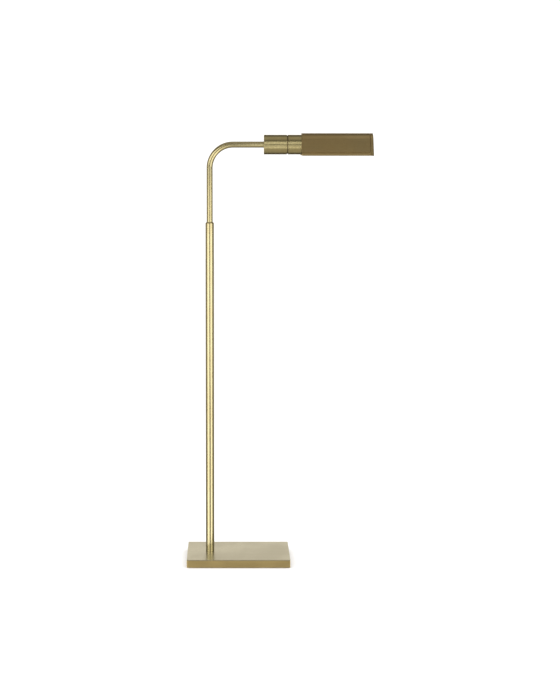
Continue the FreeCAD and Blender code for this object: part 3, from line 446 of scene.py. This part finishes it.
# %% [markdown]
# ## Putting a piece on the lamp
#
# A shape in `bmesh` becomes a piece here: its doubles are merged, its faces turned outwards, and
# it is shaded smooth except at sharp corners. The weighted normals keep a flat face flat right
# up to its rounded edge. Then the piece rides on its body, so that it moves with it, and stands
# for its solid in the frame, which is hidden.

# %% From a shape to a piece
slots = {row["node"]: row["material_slot"] for row in frame["record"]["subparts"]}
body_of = {
    node: body
    for body, nodes in frame["record"]["behaviour"]["bodies"].items()
    for node in nodes
}


def put_on(shape, node, finish, crease=32):
    """Make the shape a piece that stands for one solid of the frame."""
    bmesh.ops.remove_doubles(shape, verts=shape.verts, dist=0.000002)
    bmesh.ops.recalc_face_normals(shape, faces=shape.faces)
    for face in shape.faces:
        face.smooth = True
    mesh = bpy.data.meshes.new(node + "_piece")
    shape.to_mesh(mesh)
    shape.free()
    mesh.set_sharp_from_angle(angle=math.radians(crease))
    mesh.materials.append(finish)
    piece = bpy.data.objects.new(node + "_piece", mesh)
    bpy.context.scene.collection.objects.link(piece)
    weights = piece.modifiers.new("flat faces stay flat", "WEIGHTED_NORMAL")
    weights.keep_sharp = True
    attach(piece, body_of[node])
    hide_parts(node)
    print(f"{piece.name}: {len(mesh.vertices)} points, {len(mesh.polygons)} faces")


# %% [markdown]
# ## Turning a shape
#
# Most of the lamp is round. Such a piece is half of its section drawn as a wire outline, with
# its corners rounded by a vertex bevel, and then spun a full turn about the axis. The outline is
# a list of (distance from the axis, distance along it, rounding), in millimetres, because that
# is how a turner would write it.

# %% Draw an outline and spin it
MM = 0.001
LAID = {
    "X": Matrix.Rotation(math.radians(90), 4, "Y"),
    "Y": Matrix.Rotation(math.radians(-90), 4, "X"),
    "Z": Matrix.Identity(4),
}
DIRECTION = {"X": (1, 0, 0), "Y": (0, 1, 0), "Z": (0, 0, 1)}


def outline(corners):
    """A wire through corners (away, along, rounding) in millimetres, open on the axis."""
    shape = bmesh.new()
    points = [shape.verts.new((away * MM, 0, along * MM)) for away, along, rounding in corners]
    for point, following in zip(points, points[1:] + points[:1]):
        if point.co.x > 0 or following.co.x > 0:
            shape.edges.new((point, following))
    for point, (away, along, rounding) in zip(points, corners):
        if rounding:
            bmesh.ops.bevel(shape, geom=[point], offset=rounding * MM, offset_type="OFFSET",
                            segments=4, profile=0.5, affect="VERTICES", material=-1)
    return shape


def turned(corners, axis="Z", centre=(0, 0, 0), steps=96):
    """Spin an outline about an axis through a centre."""
    shape = outline(corners)
    bmesh.ops.transform(shape, matrix=Matrix.Translation(centre) @ LAID[axis], verts=shape.verts)
    bmesh.ops.spin(shape, geom=shape.verts[:] + shape.edges[:], cent=centre,
                   axis=DIRECTION[axis], dvec=(0, 0, 0), angle=math.tau, steps=steps,
                   use_merge=True, use_normal_flip=False, use_duplicate=False)
    return shape


# %% [markdown]
# ## The base
#
# The base is a thick steel plate, brass plated and brushed. Its edges are only just broken, with
# a round of a millimetre that draws a thin dark line along them. A cube is stretched to size and
# bevelled. Its rear face is then filled again round a circle, which gives the hole for the
# cord's bushing, and the circle is pushed in as the bore.

# %% Base plate
def block(low, high, rounding):
    """A block between two corners, with rounded edges."""
    shape = bmesh.new()
    size = high - low
    middle = Matrix.Translation((low + high) / 2) @ Matrix.Diagonal((*size, 1))
    bmesh.ops.create_cube(shape, size=1.0, matrix=middle)
    bmesh.ops.bevel(shape, geom=shape.edges[:], offset=rounding, offset_type="OFFSET",
                    segments=3, profile=0.5, affect="EDGES", material=-1)
    return shape


def bore_rear(shape, centre, radius, depth):
    """Cut a round bore into the shape's large +Y face."""
    rear = max((f for f in shape.faces if f.normal.y > 0.99), key=lambda f: f.calc_area())
    rim = rear.edges[:]
    bmesh.ops.delete(shape, geom=[rear], context="FACES_ONLY")
    facing = Matrix.Translation(centre) @ Matrix.Rotation(math.radians(90), 4, "X")
    ring = bmesh.ops.create_circle(shape, segments=48, radius=radius, matrix=facing)["verts"]
    mouth = list({edge for point in ring for edge in point.link_edges})
    bmesh.ops.triangle_fill(shape, use_beauty=True, edges=rim + mouth, normal=(0, 1, 0))
    walls = bmesh.ops.extrude_edge_only(shape, edges=mouth)["geom"]
    inner = [item for item in walls if isinstance(item, bmesh.types.BMVert)]
    bmesh.ops.translate(shape, verts=inner, vec=(0, -depth, 0))
    bottom = [edge for edge in shape.edges if len(edge.link_faces) == 1]
    bmesh.ops.edgeloop_fill(shape, edges=bottom)


bushing_low, bushing_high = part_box("cord_bushing")
bushing_centre = (bushing_low + bushing_high) / 2
EDGE_ROUND = 1.1 * MM
BORE_RADIUS = 5.5 * MM
BORE_DEPTH = 14 * MM
base_shape = block(base_low, base_high, EDGE_ROUND)
bore_rear(base_shape, Vector((0, base_high.y, bushing_centre.z)), BORE_RADIUS, BORE_DEPTH)
put_on(base_shape, "base_plate", base_brass)

# %% [markdown]
# The felt under the base is a thin pad with soft edges. The bushing in the rear edge is turned:
# a rim with a generous round that the cord can't chafe on, and a barrel in the plate's bore.

# %% Felt pad and cord bushing
felt_low, felt_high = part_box("felt_pad")
put_on(block(felt_low, felt_high, 0.6 * MM), "felt_pad", felt, crease=60)
rim_out = 1000 * (bushing_high.y - base_high.y)
barrel_in = 1000 * (bushing_low.y - base_high.y)
put_on(turned([
    (3.25, barrel_in, 0.5),
    (5.45, barrel_in, 0.5),
    (5.45, 0.0, 0),
    (7.5, 0.0, 0.2),
    (7.5, rim_out, 0.9),
    (3.25, rim_out, 1.0),
], "Y", (0, base_high.y, bushing_centre.z), 64), "cord_bushing", black_resin)

# %% [markdown]
# ## The pole
#
# The pole is a drawn tube that stands on the base. A shallow shadow gap at its foot, and one
# under the ferrule, are what shows that they are separate pieces, so both ends of the tube get
# a small round. The ferrule is the turned mouth that the arm slides in, chamfered down to it.

# %% Pole and ferrule
pole_mm = 1000 * pole_radius
foot = 1000 * pole_low.z
joint = 1000 * pole_high.z
mouth = 1000 * ferrule_high.z
put_on(turned([
    (pole_mm - 1.5, foot, 0.2),
    (pole_mm, foot, 0.45),
    (pole_mm, joint, 0.35),
    (pole_mm - 1.5, joint, 0.2),
], steps=128), "pole_tube", pole_brass)
bore = 1000 * arm_radius + 0.3
put_on(turned([
    (bore, joint - 6, 0.3),
    (pole_mm - 1.5, joint - 6, 0.3),
    (pole_mm - 1.5, joint, 0),
    (pole_mm, joint, 0.35),
    (pole_mm, mouth - 2.6, 0.5),
    (pole_mm - 2.6, mouth, 0.3),
    (bore, mouth, 0.15),
], steps=128), "pole_ferrule", ferrule_brass)

# %% [markdown]
# ## The arm
#
# The arm is one bent tube. A circle is extruded up the straight leg, spun a quarter turn about
# the bend's centre, and extruded again along the level run, which is how a pipe bender moves.
# The skin is open at both ends, and gets its wall afterwards.

# %% Arm tube
def bent_tube(foot_height, radius, bend, axis_height, reach, wall):
    shape = bmesh.new()
    ring = bmesh.ops.create_circle(shape, segments=96, radius=radius,
                                   matrix=Matrix.Translation((0, 0, foot_height)))["verts"]
    edges = list({edge for point in ring for edge in point.link_edges})
    leg = axis_height - bend - foot_height
    for length, direction in ((leg, (0, 0, 1)), (None, None), (reach - bend, (1, 0, 0))):
        if length is None:
            made = bmesh.ops.spin(shape, geom=edges, cent=(bend, 0, axis_height - bend),
                                  axis=(0, 1, 0), dvec=(0, 0, 0), angle=math.radians(90),
                                  steps=40, use_merge=False, use_normal_flip=False,
                                  use_duplicate=False)["geom_last"]
        else:
            made = bmesh.ops.extrude_edge_only(shape, edges=edges)["geom"]
            moved = [item for item in made if isinstance(item, bmesh.types.BMVert)]
            bmesh.ops.translate(shape, verts=moved, vec=Vector(direction) * length)
        edges = [item for item in made if isinstance(item, bmesh.types.BMEdge)]
        edges = [edge for edge in edges if len(edge.link_faces) == 1]
    bmesh.ops.recalc_face_normals(shape, faces=shape.faces)
    bmesh.ops.solidify(shape, geom=shape.faces[:], thickness=wall)
    return shape


ARM_WALL = 1.2 * MM
put_on(bent_tube(arm_low.z, arm_radius, bend_radius, arm_axis, rear_low.x, ARM_WALL),
       "arm_tube", arm_brass)

# %% [markdown]
# ## The barrel
#
# Two turned cans meet at the swivel. The rear one is closed where the arm enters it, the front
# one has a web that the spindle passes. Between them shows a narrow groove with the friction
# washer at its bottom. All outer edges have the small round that a turner gives them.

# %% Rear and front barrel with the washer in the groove
def barrel_place(point_x):
    return (point_x, 0, barrel_axis)


barrel_mm = 1000 * barrel_radius
rear_long = 1000 * (rear_high.x - rear_low.x)
front_long = 1000 * (front_high.x - front_low.x)
put_on(turned([
    (4.2, 0.0, 0.1),
    (barrel_mm, 0.0, 0.8),
    (barrel_mm, rear_long, 0.5),
    (barrel_mm - 1.5, rear_long, 0.2),
    (barrel_mm - 1.5, 3.0, 0.5),
    (4.2, 3.0, 0.1),
], "X", barrel_place(rear_low.x), 144), "rear_barrel", barrel_brass)
put_on(turned([
    (6.0, 0.0, 0.1),
    (barrel_mm, 0.0, 0.5),
    (barrel_mm, front_long, 0.4),
    (barrel_mm - 1.5, front_long, 0.2),
    (barrel_mm - 1.5, 4.0, 0.5),
    (6.0, 4.0, 0.1),
], "X", barrel_place(front_low.x), 144), "front_barrel", barrel_brass)
# The washer takes the dark groove finish, which is painted shade.
washer_low, washer_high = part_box("swivel_washer")
put_on(turned([
    (14.0, 0.0, 0.2),
    (1000 * washer_high.y, 0.0, 0.3),
    (1000 * washer_high.y, 1000 * (washer_high.x - washer_low.x), 0.3),
    (14.0, 1000 * (washer_high.x - washer_low.x), 0.2),
], "X", barrel_place(washer_low.x), 96), "swivel_washer", groove_shade_brass)

# %% [markdown]
# ## The dimmer's nut and knob
#
# The knob is on the barrel's rear side. Its grip is a coin edge: a circle of 120 points of which
# every second one is drawn in, extruded along the axis, with the rim of its end face bevelled.
# The end face is inset and sunk by a hair, which leaves a raised border. The nut has a skirt
# that reaches down to the barrel's round wall, so no light shows under it.

# %% Knob and nut
nut_low, nut_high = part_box("dimmer_nut")


def coin_edged(radius, notch, low, high, centre_x, height, teeth=60):
    """A short cylinder along +Y with a grooved rim."""
    shape = bmesh.new()
    facing = Matrix.Translation((centre_x, low, height)) @ LAID["Y"]
    ring = bmesh.ops.create_circle(shape, cap_ends=True, segments=2 * teeth, radius=radius,
                                   matrix=facing)["verts"]
    axis = Vector((centre_x, 0, height))
    for point in ring[::2]:
        away = point.co - Vector((axis.x, point.co.y, axis.z))
        point.co -= away.normalized() * notch
    front = bmesh.ops.extrude_face_region(shape, geom=shape.faces[:])["geom"]
    moved = [item for item in front if isinstance(item, bmesh.types.BMVert)]
    bmesh.ops.translate(shape, verts=moved, vec=(0, high - low, 0))
    shape.normal_update()
    cap = max(shape.faces, key=lambda face: face.calc_center_median().y)
    bmesh.ops.bevel(shape, geom=cap.edges[:], offset=1.2 * MM, offset_type="OFFSET", segments=4,
                    profile=0.5, affect="EDGES", material=-1)
    shape.faces.ensure_lookup_table()
    cap = max(shape.faces, key=lambda face: face.calc_center_median().y)
    bmesh.ops.inset_individual(shape, faces=[cap], thickness=0.8 * MM, depth=0.0)
    bmesh.ops.inset_individual(shape, faces=[cap], thickness=0.4 * MM, depth=-0.4 * MM)
    return shape


NOTCH = 0.35 * MM
put_on(coin_edged(knob_high.x - knob_centre[0], NOTCH, knob_low.y, knob_high.y,
                  knob_centre[0], barrel_axis), "dimmer_knob", knob_brass, crease=25)
nut_radius = 1000 * (nut_high.x - knob_centre[0])
put_on(turned([
    (4.5, -1.4, 0),
    (nut_radius - 0.4, -1.4, 0),
    (nut_radius, 0.4, 0.2),
    (nut_radius, 1000 * (nut_high.y - nut_low.y), 0.5),
    (4.5, 1000 * (nut_high.y - nut_low.y), 0.3),
], "Y", (knob_centre[0], nut_low.y, barrel_axis), 64), "dimmer_nut", knob_brass)


# %% [markdown]
# ## The shade
#
# The shade is bent from sheet: two flat sides that lean together, joined over a rounded ridge,
# and open below, where the sheet is folded inwards as a hem. Its section is drawn once. A point
# is spun about the ridge's centre, which gives the arc, and the sides run on straight down from
# both of its ends as tangents. The half width that their lean gives is printed beside the
# frame's own, because the two have to agree.

# %% Draw the section of the shade
ridge = shell_high.z - barrel_axis
drop = barrel_axis - shell_low.z
half_wide = shell_high.y
lean = math.radians(24)
print(f"shade: ridge {1000 * ridge:.1f} mm, half width {1000 * half_wide:.1f} mm, "
      f"expected {1000 * (ridge / math.cos(lean) + drop * math.tan(lean)):.1f} mm")


def side(radius, height):
    """How far out the flat side lies at a height above the barrel's axis."""
    return radius / math.cos(lean) - height * math.tan(lean)


def tent(shape, radius, low, x, steps=28):
    """Points of one tent line, from the +Y foot over the ridge to the -Y foot."""
    start = Vector((x, radius * math.cos(lean), barrel_axis + radius * math.sin(lean)))
    first = shape.verts.new(start)
    sweep = math.radians(180) - 2 * lean
    spun = bmesh.ops.spin(shape, geom=[first], cent=(x, 0, barrel_axis), axis=(1, 0, 0),
                          dvec=(0, 0, 0), angle=sweep, steps=steps, use_merge=False,
                          use_normal_flip=False, use_duplicate=False)
    last = spun["geom_last"][0]
    foot_y = side(radius, low)
    near = shape.verts.new((x, foot_y, barrel_axis + low))
    far = shape.verts.new((x, -foot_y, barrel_axis + low))
    shape.edges.new((near, first))
    shape.edges.new((last, far))
    return near, far


# %% [markdown]
# The shell's section is two tent lines a sheet's thickness apart, joined at both feet by the
# hem. The sheet is folded over there, which stiffens the long edge: outside it shows as a slim
# strip under a narrow slit, and inside as a thick leaf. The closed section is filled and
# extruded along the shade.

# %% Shade shell
HEM = [
    (-1.3, 8.2, 0.1),
    (-1.3, 7.1, 0.1),
    (0.45, 6.8, 0.9),
    (-0.15, 0.5, 0.6),
    (-1.6, 0.0, 0.4),
    (-2.6, 0.4, 0.5),
    (-2.5, 9.4, 0.3),
]


def hem(shape, outer_foot, inner_foot, hand, x):
    """Join the two feet on one side. HEM is (out of the skin, above the edge, rounding)."""
    line = [outer_foot]
    for out, up, rounding in HEM:
        height = up * MM - drop
        line.append(shape.verts.new((x, hand * (side(ridge, height) + out * MM),
                                     barrel_axis + height)))
    line.append(inner_foot)
    for point, following in zip(line, line[1:]):
        shape.edges.new((point, following))
    for point, (out, up, rounding) in zip(line[1:-1], HEM):
        bmesh.ops.bevel(shape, geom=[point], offset=rounding * MM, offset_type="OFFSET",
                        segments=4, profile=0.5, affect="VERTICES", material=-1)


def extruded(shape, length):
    """Fill the closed wire and extrude it along +X."""
    face = bmesh.ops.contextual_create(shape, geom=shape.edges[:])["faces"]
    made = bmesh.ops.extrude_face_region(shape, geom=face)["geom"]
    moved = [item for item in made if isinstance(item, bmesh.types.BMVert)]
    bmesh.ops.translate(shape, verts=moved, vec=(length, 0, 0))


SHEET = 1.0 * MM
SKIN_FOOT = 8.4 * MM
FOLD_TOP = 9.8 * MM


def shade_sheet(start, length):
    shape = bmesh.new()
    outer = tent(shape, ridge, -drop + SKIN_FOOT, start)
    inner = tent(shape, ridge - SHEET, -drop + FOLD_TOP, start)
    hem(shape, outer[0], inner[0], 1, start)
    hem(shape, outer[1], inner[1], -1, start)
    extruded(shape, length)
    return shape


put_on(shade_sheet(shell_low.x, shell_high.x - shell_low.x), "shade_shell", shade_brass)


# %% [markdown]
# The free end is closed by a cap that shows as a narrow band: a tent-shaped plate, deep as the
# band is wide, and hollow towards the bulb. Both its edges are rounded, and a narrower spigot
# goes on inside the shell, so the gap between them is dark. The gable at the barrel is the same
# shape, sunk inside the shell, with a round hole for the lamp holder.

# %% End cap and gable
SPIGOT_INSET = 3.2 * MM
LIP_ROUND = 1.3 * MM


def pan(start, length, radius, low, floor, wall, rounding, spigot=0.0):
    """A tent-shaped tray along X: its floor at the start, its mouth at the end.

    A spigot is a narrower part beyond the mouth, which goes inside the shell.
    """
    shape = bmesh.new()
    near, far = tent(shape, radius, low, start)
    shape.edges.new((far, near))
    extruded(shape, length)
    shape.normal_update()
    toward = 1 if length > 0 else -1
    ends = [f for f in shape.faces if abs(f.normal.x) > 0.9]
    back = min(ends, key=lambda f: toward * f.calc_center_median().x)
    mouth_face = max(ends, key=lambda f: toward * f.calc_center_median().x)
    lip = mouth_face.edges[:]
    steps = [(wall, floor - abs(length) - spigot)]
    if spigot:
        steps.insert(0, (SPIGOT_INSET, spigot))
    for inset, travel in steps:
        bmesh.ops.inset_individual(shape, faces=[mouth_face], thickness=inset, depth=0.0)
        made = bmesh.ops.extrude_face_region(shape, geom=[mouth_face])["geom"]
        moved = [item for item in made if isinstance(item, bmesh.types.BMVert)]
        bmesh.ops.translate(shape, verts=moved, vec=(toward * travel, 0, 0))
        bmesh.ops.delete(shape, geom=[mouth_face], context="FACES_ONLY")
        mouth_face = next(item for item in made if isinstance(item, bmesh.types.BMFace))
    rounds = [(back.edges[:], rounding)] + ([(lip, LIP_ROUND)] if spigot else [])
    for edges, offset in rounds:
        bmesh.ops.bevel(shape, geom=edges, offset=offset, offset_type="OFFSET",
                        segments=3, profile=0.5, affect="EDGES", material=-1)
    return shape


CAP_GAP = 0.8 * MM
band = cap_high.x - shell_high.x - CAP_GAP
put_on(pan(cap_high.x, -band, ridge, -drop, floor=1.2 * MM, wall=1.2 * MM, rounding=0.6 * MM,
           spigot=2.6 * MM), "shade_end_cap", shade_brass)

gable_low, gable_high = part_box("shade_gable")
HOLDER_HOLE = 19.3 * MM


def holed_gable():
    """The gable pan, with its floor filled round the lamp holder's hole."""
    shape = pan(gable_low.x + 0.1 * MM, gable_high.x - gable_low.x, ridge - 1.05 * MM,
                -drop + 4.3 * MM, floor=1.2 * MM, wall=0.8 * MM, rounding=0.3 * MM)
    flats = [f for f in shape.faces if abs(f.normal.x) > 0.9 and len(f.verts) > 20]
    holes = []
    for flat in sorted(flats, key=lambda f: f.calc_area())[-2:]:
        x = flat.calc_center_median().x
        rim = flat.edges[:]
        bmesh.ops.delete(shape, geom=[flat], context="FACES_ONLY")
        facing = Matrix.Translation((x, 0, barrel_axis)) @ LAID["X"]
        ring = bmesh.ops.create_circle(shape, segments=72, radius=HOLDER_HOLE,
                                       matrix=facing)["verts"]
        hole = list({edge for point in ring for edge in point.link_edges})
        bmesh.ops.triangle_fill(shape, use_beauty=True, edges=rim + hole, normal=(1, 0, 0))
        holes += hole
    bmesh.ops.bridge_loops(shape, edges=holes)
    return shape


put_on(holed_gable(), "shade_gable", shade_brass)

# %% [markdown]
# ## The lamp holder and the bulb
#
# The holder is moulded resin with a lip round its mouth, and the ring that clamps the shade is
# threaded on it. Its grip is a coin edge again, here made by turning a ring and drawing every
# second column of points in. Both are seen only from below, in front of the bulb's cap.

# %% Lamp holder and shade ring
holder_long = 1000 * (holder_high.x - holder_low.x)
shoulder = 1000 * (front_high.x - holder_low.x)
put_on(turned([
    (6.0, 0.0, 0.1),
    (19.0, 0.0, 0.6),
    (19.0, shoulder - 3.0, 0),
    (23.5, shoulder - 3.0, 0.3),
    (23.5, shoulder, 0.2),
    (19.0, shoulder, 0),
    (19.0, holder_long - 1.5, 0.4),
    (18.2, holder_long, 0.5),
    (14.3, holder_long, 0.8),
    (14.3, 14.0, 0.3),
    (6.0, 14.0, 0.1),
], "X", barrel_place(holder_low.x), 96), "socket_body", black_resin)

ring_low, ring_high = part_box("shade_ring")
ring_shape = turned([
    (19.05, 0.0, 0.3),
    (1000 * ring_high.y, 0.0, 0.8),
    (1000 * ring_high.y, 1000 * (ring_high.x - ring_low.x), 0.8),
    (19.05, 1000 * (ring_high.x - ring_low.x), 0.3),
], "X", barrel_place(ring_low.x), 96)
for point in ring_shape.verts:
    turn = math.atan2(point.co.y, point.co.z - barrel_axis)
    column = round(turn / math.tau * 96)
    off_axis = Vector((0, point.co.y, point.co.z - barrel_axis))
    if column % 2 and off_axis.length > 0.9 * ring_high.y:
        point.co -= off_axis.normalized() * 0.5 * MM
put_on(ring_shape, "shade_ring", black_resin, crease=25)

# %% [markdown]
# The bulb's cap and the holder's screw shell carry a round thread. Its ridges are turned as
# rings, which can't be told from a helix inside the holder. The glass is one closed skin with
# an inner wall: a neck, a long tube, and a round end.

# %% Bulb cap, glass and screw shell
cap_low_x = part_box("bulb_cap")[0].x
glass_low, glass_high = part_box("bulb_glass")
cap_long = 1000 * (glass_low.x - cap_low_x)


def threaded(start, end, crest, root, pitch):
    """Corners of a row of ridges, from start to end."""
    corners = []
    along = start
    while along + pitch <= end:
        corners.append((root, along, 0.3))
        corners.append((crest, along + pitch / 2, 0.5))
        along += pitch
    return corners


put_on(turned([
    (0.0, 0.0, 0),
    (4.5, 0.0, 0.8),
    (11.6, 4.6, 0.8),
    *threaded(5.0, cap_long - 2.0, 13.0, 12.0, 3.6),
    (12.6, cap_long, 0.2),
    (0.0, cap_long, 0),
], "X", barrel_place(cap_low_x), 72), "bulb_cap", zinc)

glass_long = 1000 * (glass_high.x - glass_low.x)
glass_wide = 1000 * glass_high.y
put_on(turned([
    (12.0, 0.0, 0),
    (12.0, 6.0, 3.0),
    (glass_wide, 18.0, 4.0),
    (glass_wide, glass_long, 15.0),
    (0.0, glass_long, 0),
    (0.0, glass_long - 1.0, 0),
    (glass_wide - 1.0, glass_long - 1.0, 14.0),
    (glass_wide - 1.0, 18.2, 4.0),
    (11.0, 6.2, 3.0),
    (11.0, 0.0, 0),
], "X", barrel_place(glass_low.x), 96), "bulb_glass", opal)

screw_low, screw_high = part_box("socket_shell")
screw_long = 1000 * (screw_high.x - screw_low.x)
put_on(turned([
    (14.28, 0.0, 0.1),
    (14.28, screw_long, 0.1),
    (13.9, screw_long, 0.1),
    *[(away, screw_long - along, rounding)
      for away, along, rounding in threaded(1.0, screw_long - 1.0, 13.2, 13.9, 3.6)],
    (13.9, 0.0, 0.1),
], "X", barrel_place(screw_low.x), 72), "socket_shell", knob_brass)

# %% [markdown]
# ## The rest of the frame
#
# What is left is inside the lamp: nuts, washers, bushes, the spindle, the dimmer's body. Their
# solids have the right shape already, so they stay as they are, and only get their finish.

# %% Finishes for the solids that stay
by_slot = {
    "brass_plate": base_brass,
    "burnished_brass": ferrule_brass,
    "turned_brass": barrel_brass,
    "shade_brass": shade_brass,
    "zinc_steel": zinc,
    "white_nylon": nylon,
    "black_plastic": black_resin,
    "felt": felt,
    "opal_glass": opal,
    "clear_glass": clear,
    "filament": phosphor,
}
for name, solid in frame["nodes"].items():
    solid.data.materials.clear()
    solid.data.materials.append(by_slot[slots[name]])
left = [name for name, solid in frame["nodes"].items() if not solid.hide_render]
print(len(left), "solids stay:", ", ".join(left))

# %% [markdown]
# ## The floor
#
# A plain pale sheet of paper under the lamp and far behind it. It is stage, not lamp.

# %% Floor
def pale_paper():
    finish = Finish("pale_paper")
    grain = finish.grain(finish.place(), 3.0, detail=3.0)
    return finish.surface(
        Base_Color=finish.blend(grain, (0.90, 0.90, 0.90), (0.88, 0.88, 0.88)),
        Roughness=0.9,
        Specular_IOR_Level=0.1,
    )


floor_shape = bmesh.new()
bmesh.ops.create_grid(floor_shape, x_segments=8, y_segments=8, size=9.0)
floor_mesh = bpy.data.meshes.new("floor")
floor_shape.to_mesh(floor_mesh)
floor_shape.free()
floor_mesh.materials.append(pale_paper())
floor = bpy.data.objects.new("floor", floor_mesh)
bpy.context.scene.collection.objects.link(floor)
floor.visible_glossy = False
print("floor:", len(floor_mesh.polygons), "faces")

# %% [markdown]
# ## The light
#
# Polished metal shows what stands round it, so the light is planned as a room. Two tall soft
# boxes stand at the front left and right, with a dark gap between them where the camera is:
# each gives the pole one bright band, and the gap gives the darker line between the bands. Each
# is in two parts with a slot at the arm's height. Two narrow cards before the barrel do for it
# what the boxes do for the pole: a bright band above its middle and one below. Elsewhere the
# room is dim, and behind the lamp it is bright again, for the base's top.

# %% Soft boxes
def soft_box(name, azimuth, distance, width, low, high, radiance):
    """An upright soft box that faces the pole. Azimuth is from the front, + to the right."""
    data = bpy.data.lights.new(name, "AREA")
    data.shape = "RECTANGLE"
    data.size = width
    data.size_y = high - low
    data.energy = radiance * math.pi * width * (high - low)
    lamp = bpy.data.objects.new(name, data)
    turn = math.radians(azimuth)
    lamp.location = (distance * math.sin(turn), -distance * math.cos(turn), (low + high) / 2)
    lamp.rotation_euler = (math.radians(90), 0, turn)
    lamp.visible_camera = False
    bpy.context.scene.collection.objects.link(lamp)
    print(f"{name}: {data.energy:.0f} W")
    return lamp


BOX_DISTANCE = 2.2
BOX_RADIANCE = 1.75
CARD_DISTANCE = 0.8
CARD_WIDTH = 0.20
CARD_X = 0.20
for side_name, azimuth, width in (("left", -41, 2.44), ("right", 43, 1.96)):
    for part, low, high in (("_upper_box", 1.24, 2.52), ("_lower_box", -1.00, 0.96)):
        soft_box(side_name + part, azimuth, BOX_DISTANCE, width, low, high, BOX_RADIANCE)
for name, low, high, radiance in (
    ("barrel_card_above", 1.165, 1.62, 1.0),
    ("barrel_card_below", 0.33, 1.045, 0.80),
):
    card = soft_box(name, 0, CARD_DISTANCE, CARD_WIDTH, low, high, radiance)
    card.location.x = CARD_X


# %% [markdown]
# The rest of the room is the world. For the camera and for matt surfaces it is plain white. In
# reflections it depends on the direction: dim in front, a little lighter overhead, below and at
# the sides, and bright behind the lamp at eye level, with a faintly warm tint.

# %% World
ROOM_WHITE = 1.18


def room():
    world = bpy.data.worlds.new("room")
    bpy.context.scene.world = world
    sky = Finish("room", world)
    direction = sky.node("ShaderNodeTexCoord", output="Generated")
    x, y, z = sky.parts(direction)
    flat = (x * x + y * y) ** 0.5
    behind = (y / flat.most(0.001)).rising(0.70, 0.88)
    level = z.rising(-0.35, -0.15) * (1 - z.rising(0.42, 0.60))
    over = z.rising(0.78, 0.93) * (1 - y.rising(0.1, 0.5))
    under = (0 - z).rising(0.30, 0.60) * (1 - y.rising(0.1, 0.5))
    back = z.size().rising(0.50, 0.80) * y.rising(0.1, 0.5)
    sides = x.size().rising(0.92, 0.99)
    glow = 0.21 + behind * level * 0.78 + over * 0.25 + under * 0.34 + sides * 0.22 - back * 0.08
    mirrored = sky.node("ShaderNodeLightPath", output="Is Glossy Ray")
    strength = ROOM_WHITE + mirrored * (glow - ROOM_WHITE)
    warmth = sky.blend(mirrored, (1.0, 1.0, 1.0), (1.0, 0.94, 0.84))
    light = sky.node("ShaderNodeBackground", sockets={"Color": warmth, 1: strength})
    sky.node("ShaderNodeOutputWorld", sockets={"Surface": light})
    print("world:", len(sky.tree.nodes), "nodes")


room()

# %% [markdown]
# ## The camera
#
# The camera stands 3.5 m in front of the lamp, a little above the arm, and looks slightly down,
# with a long lens. A small shift frames the lamp as a catalogue does: left of the middle, with
# room above it. The Standard view keeps a white floor white.

# %% Camera and view
CAMERA_DISTANCE = 3.5
CAMERA_HEIGHT = 1.1148
LOOKING_DOWN = 5.75
camera_data = bpy.data.cameras.new("camera")
camera_data.lens = 69.39
camera_data.shift_x = 0.0738
camera_data.shift_y = -0.1087
camera_data.clip_end = 50.0
camera = bpy.data.objects.new("camera", camera_data)
camera.location = (0.0484, -CAMERA_DISTANCE, CAMERA_HEIGHT)
camera.rotation_euler = (math.radians(90 - LOOKING_DOWN), 0, 0)
bpy.context.scene.collection.objects.link(camera)
bpy.context.scene.camera = camera
bpy.context.scene.view_settings.view_transform = "Standard"
print("camera:", tuple(round(c, 3) for c in camera.location))
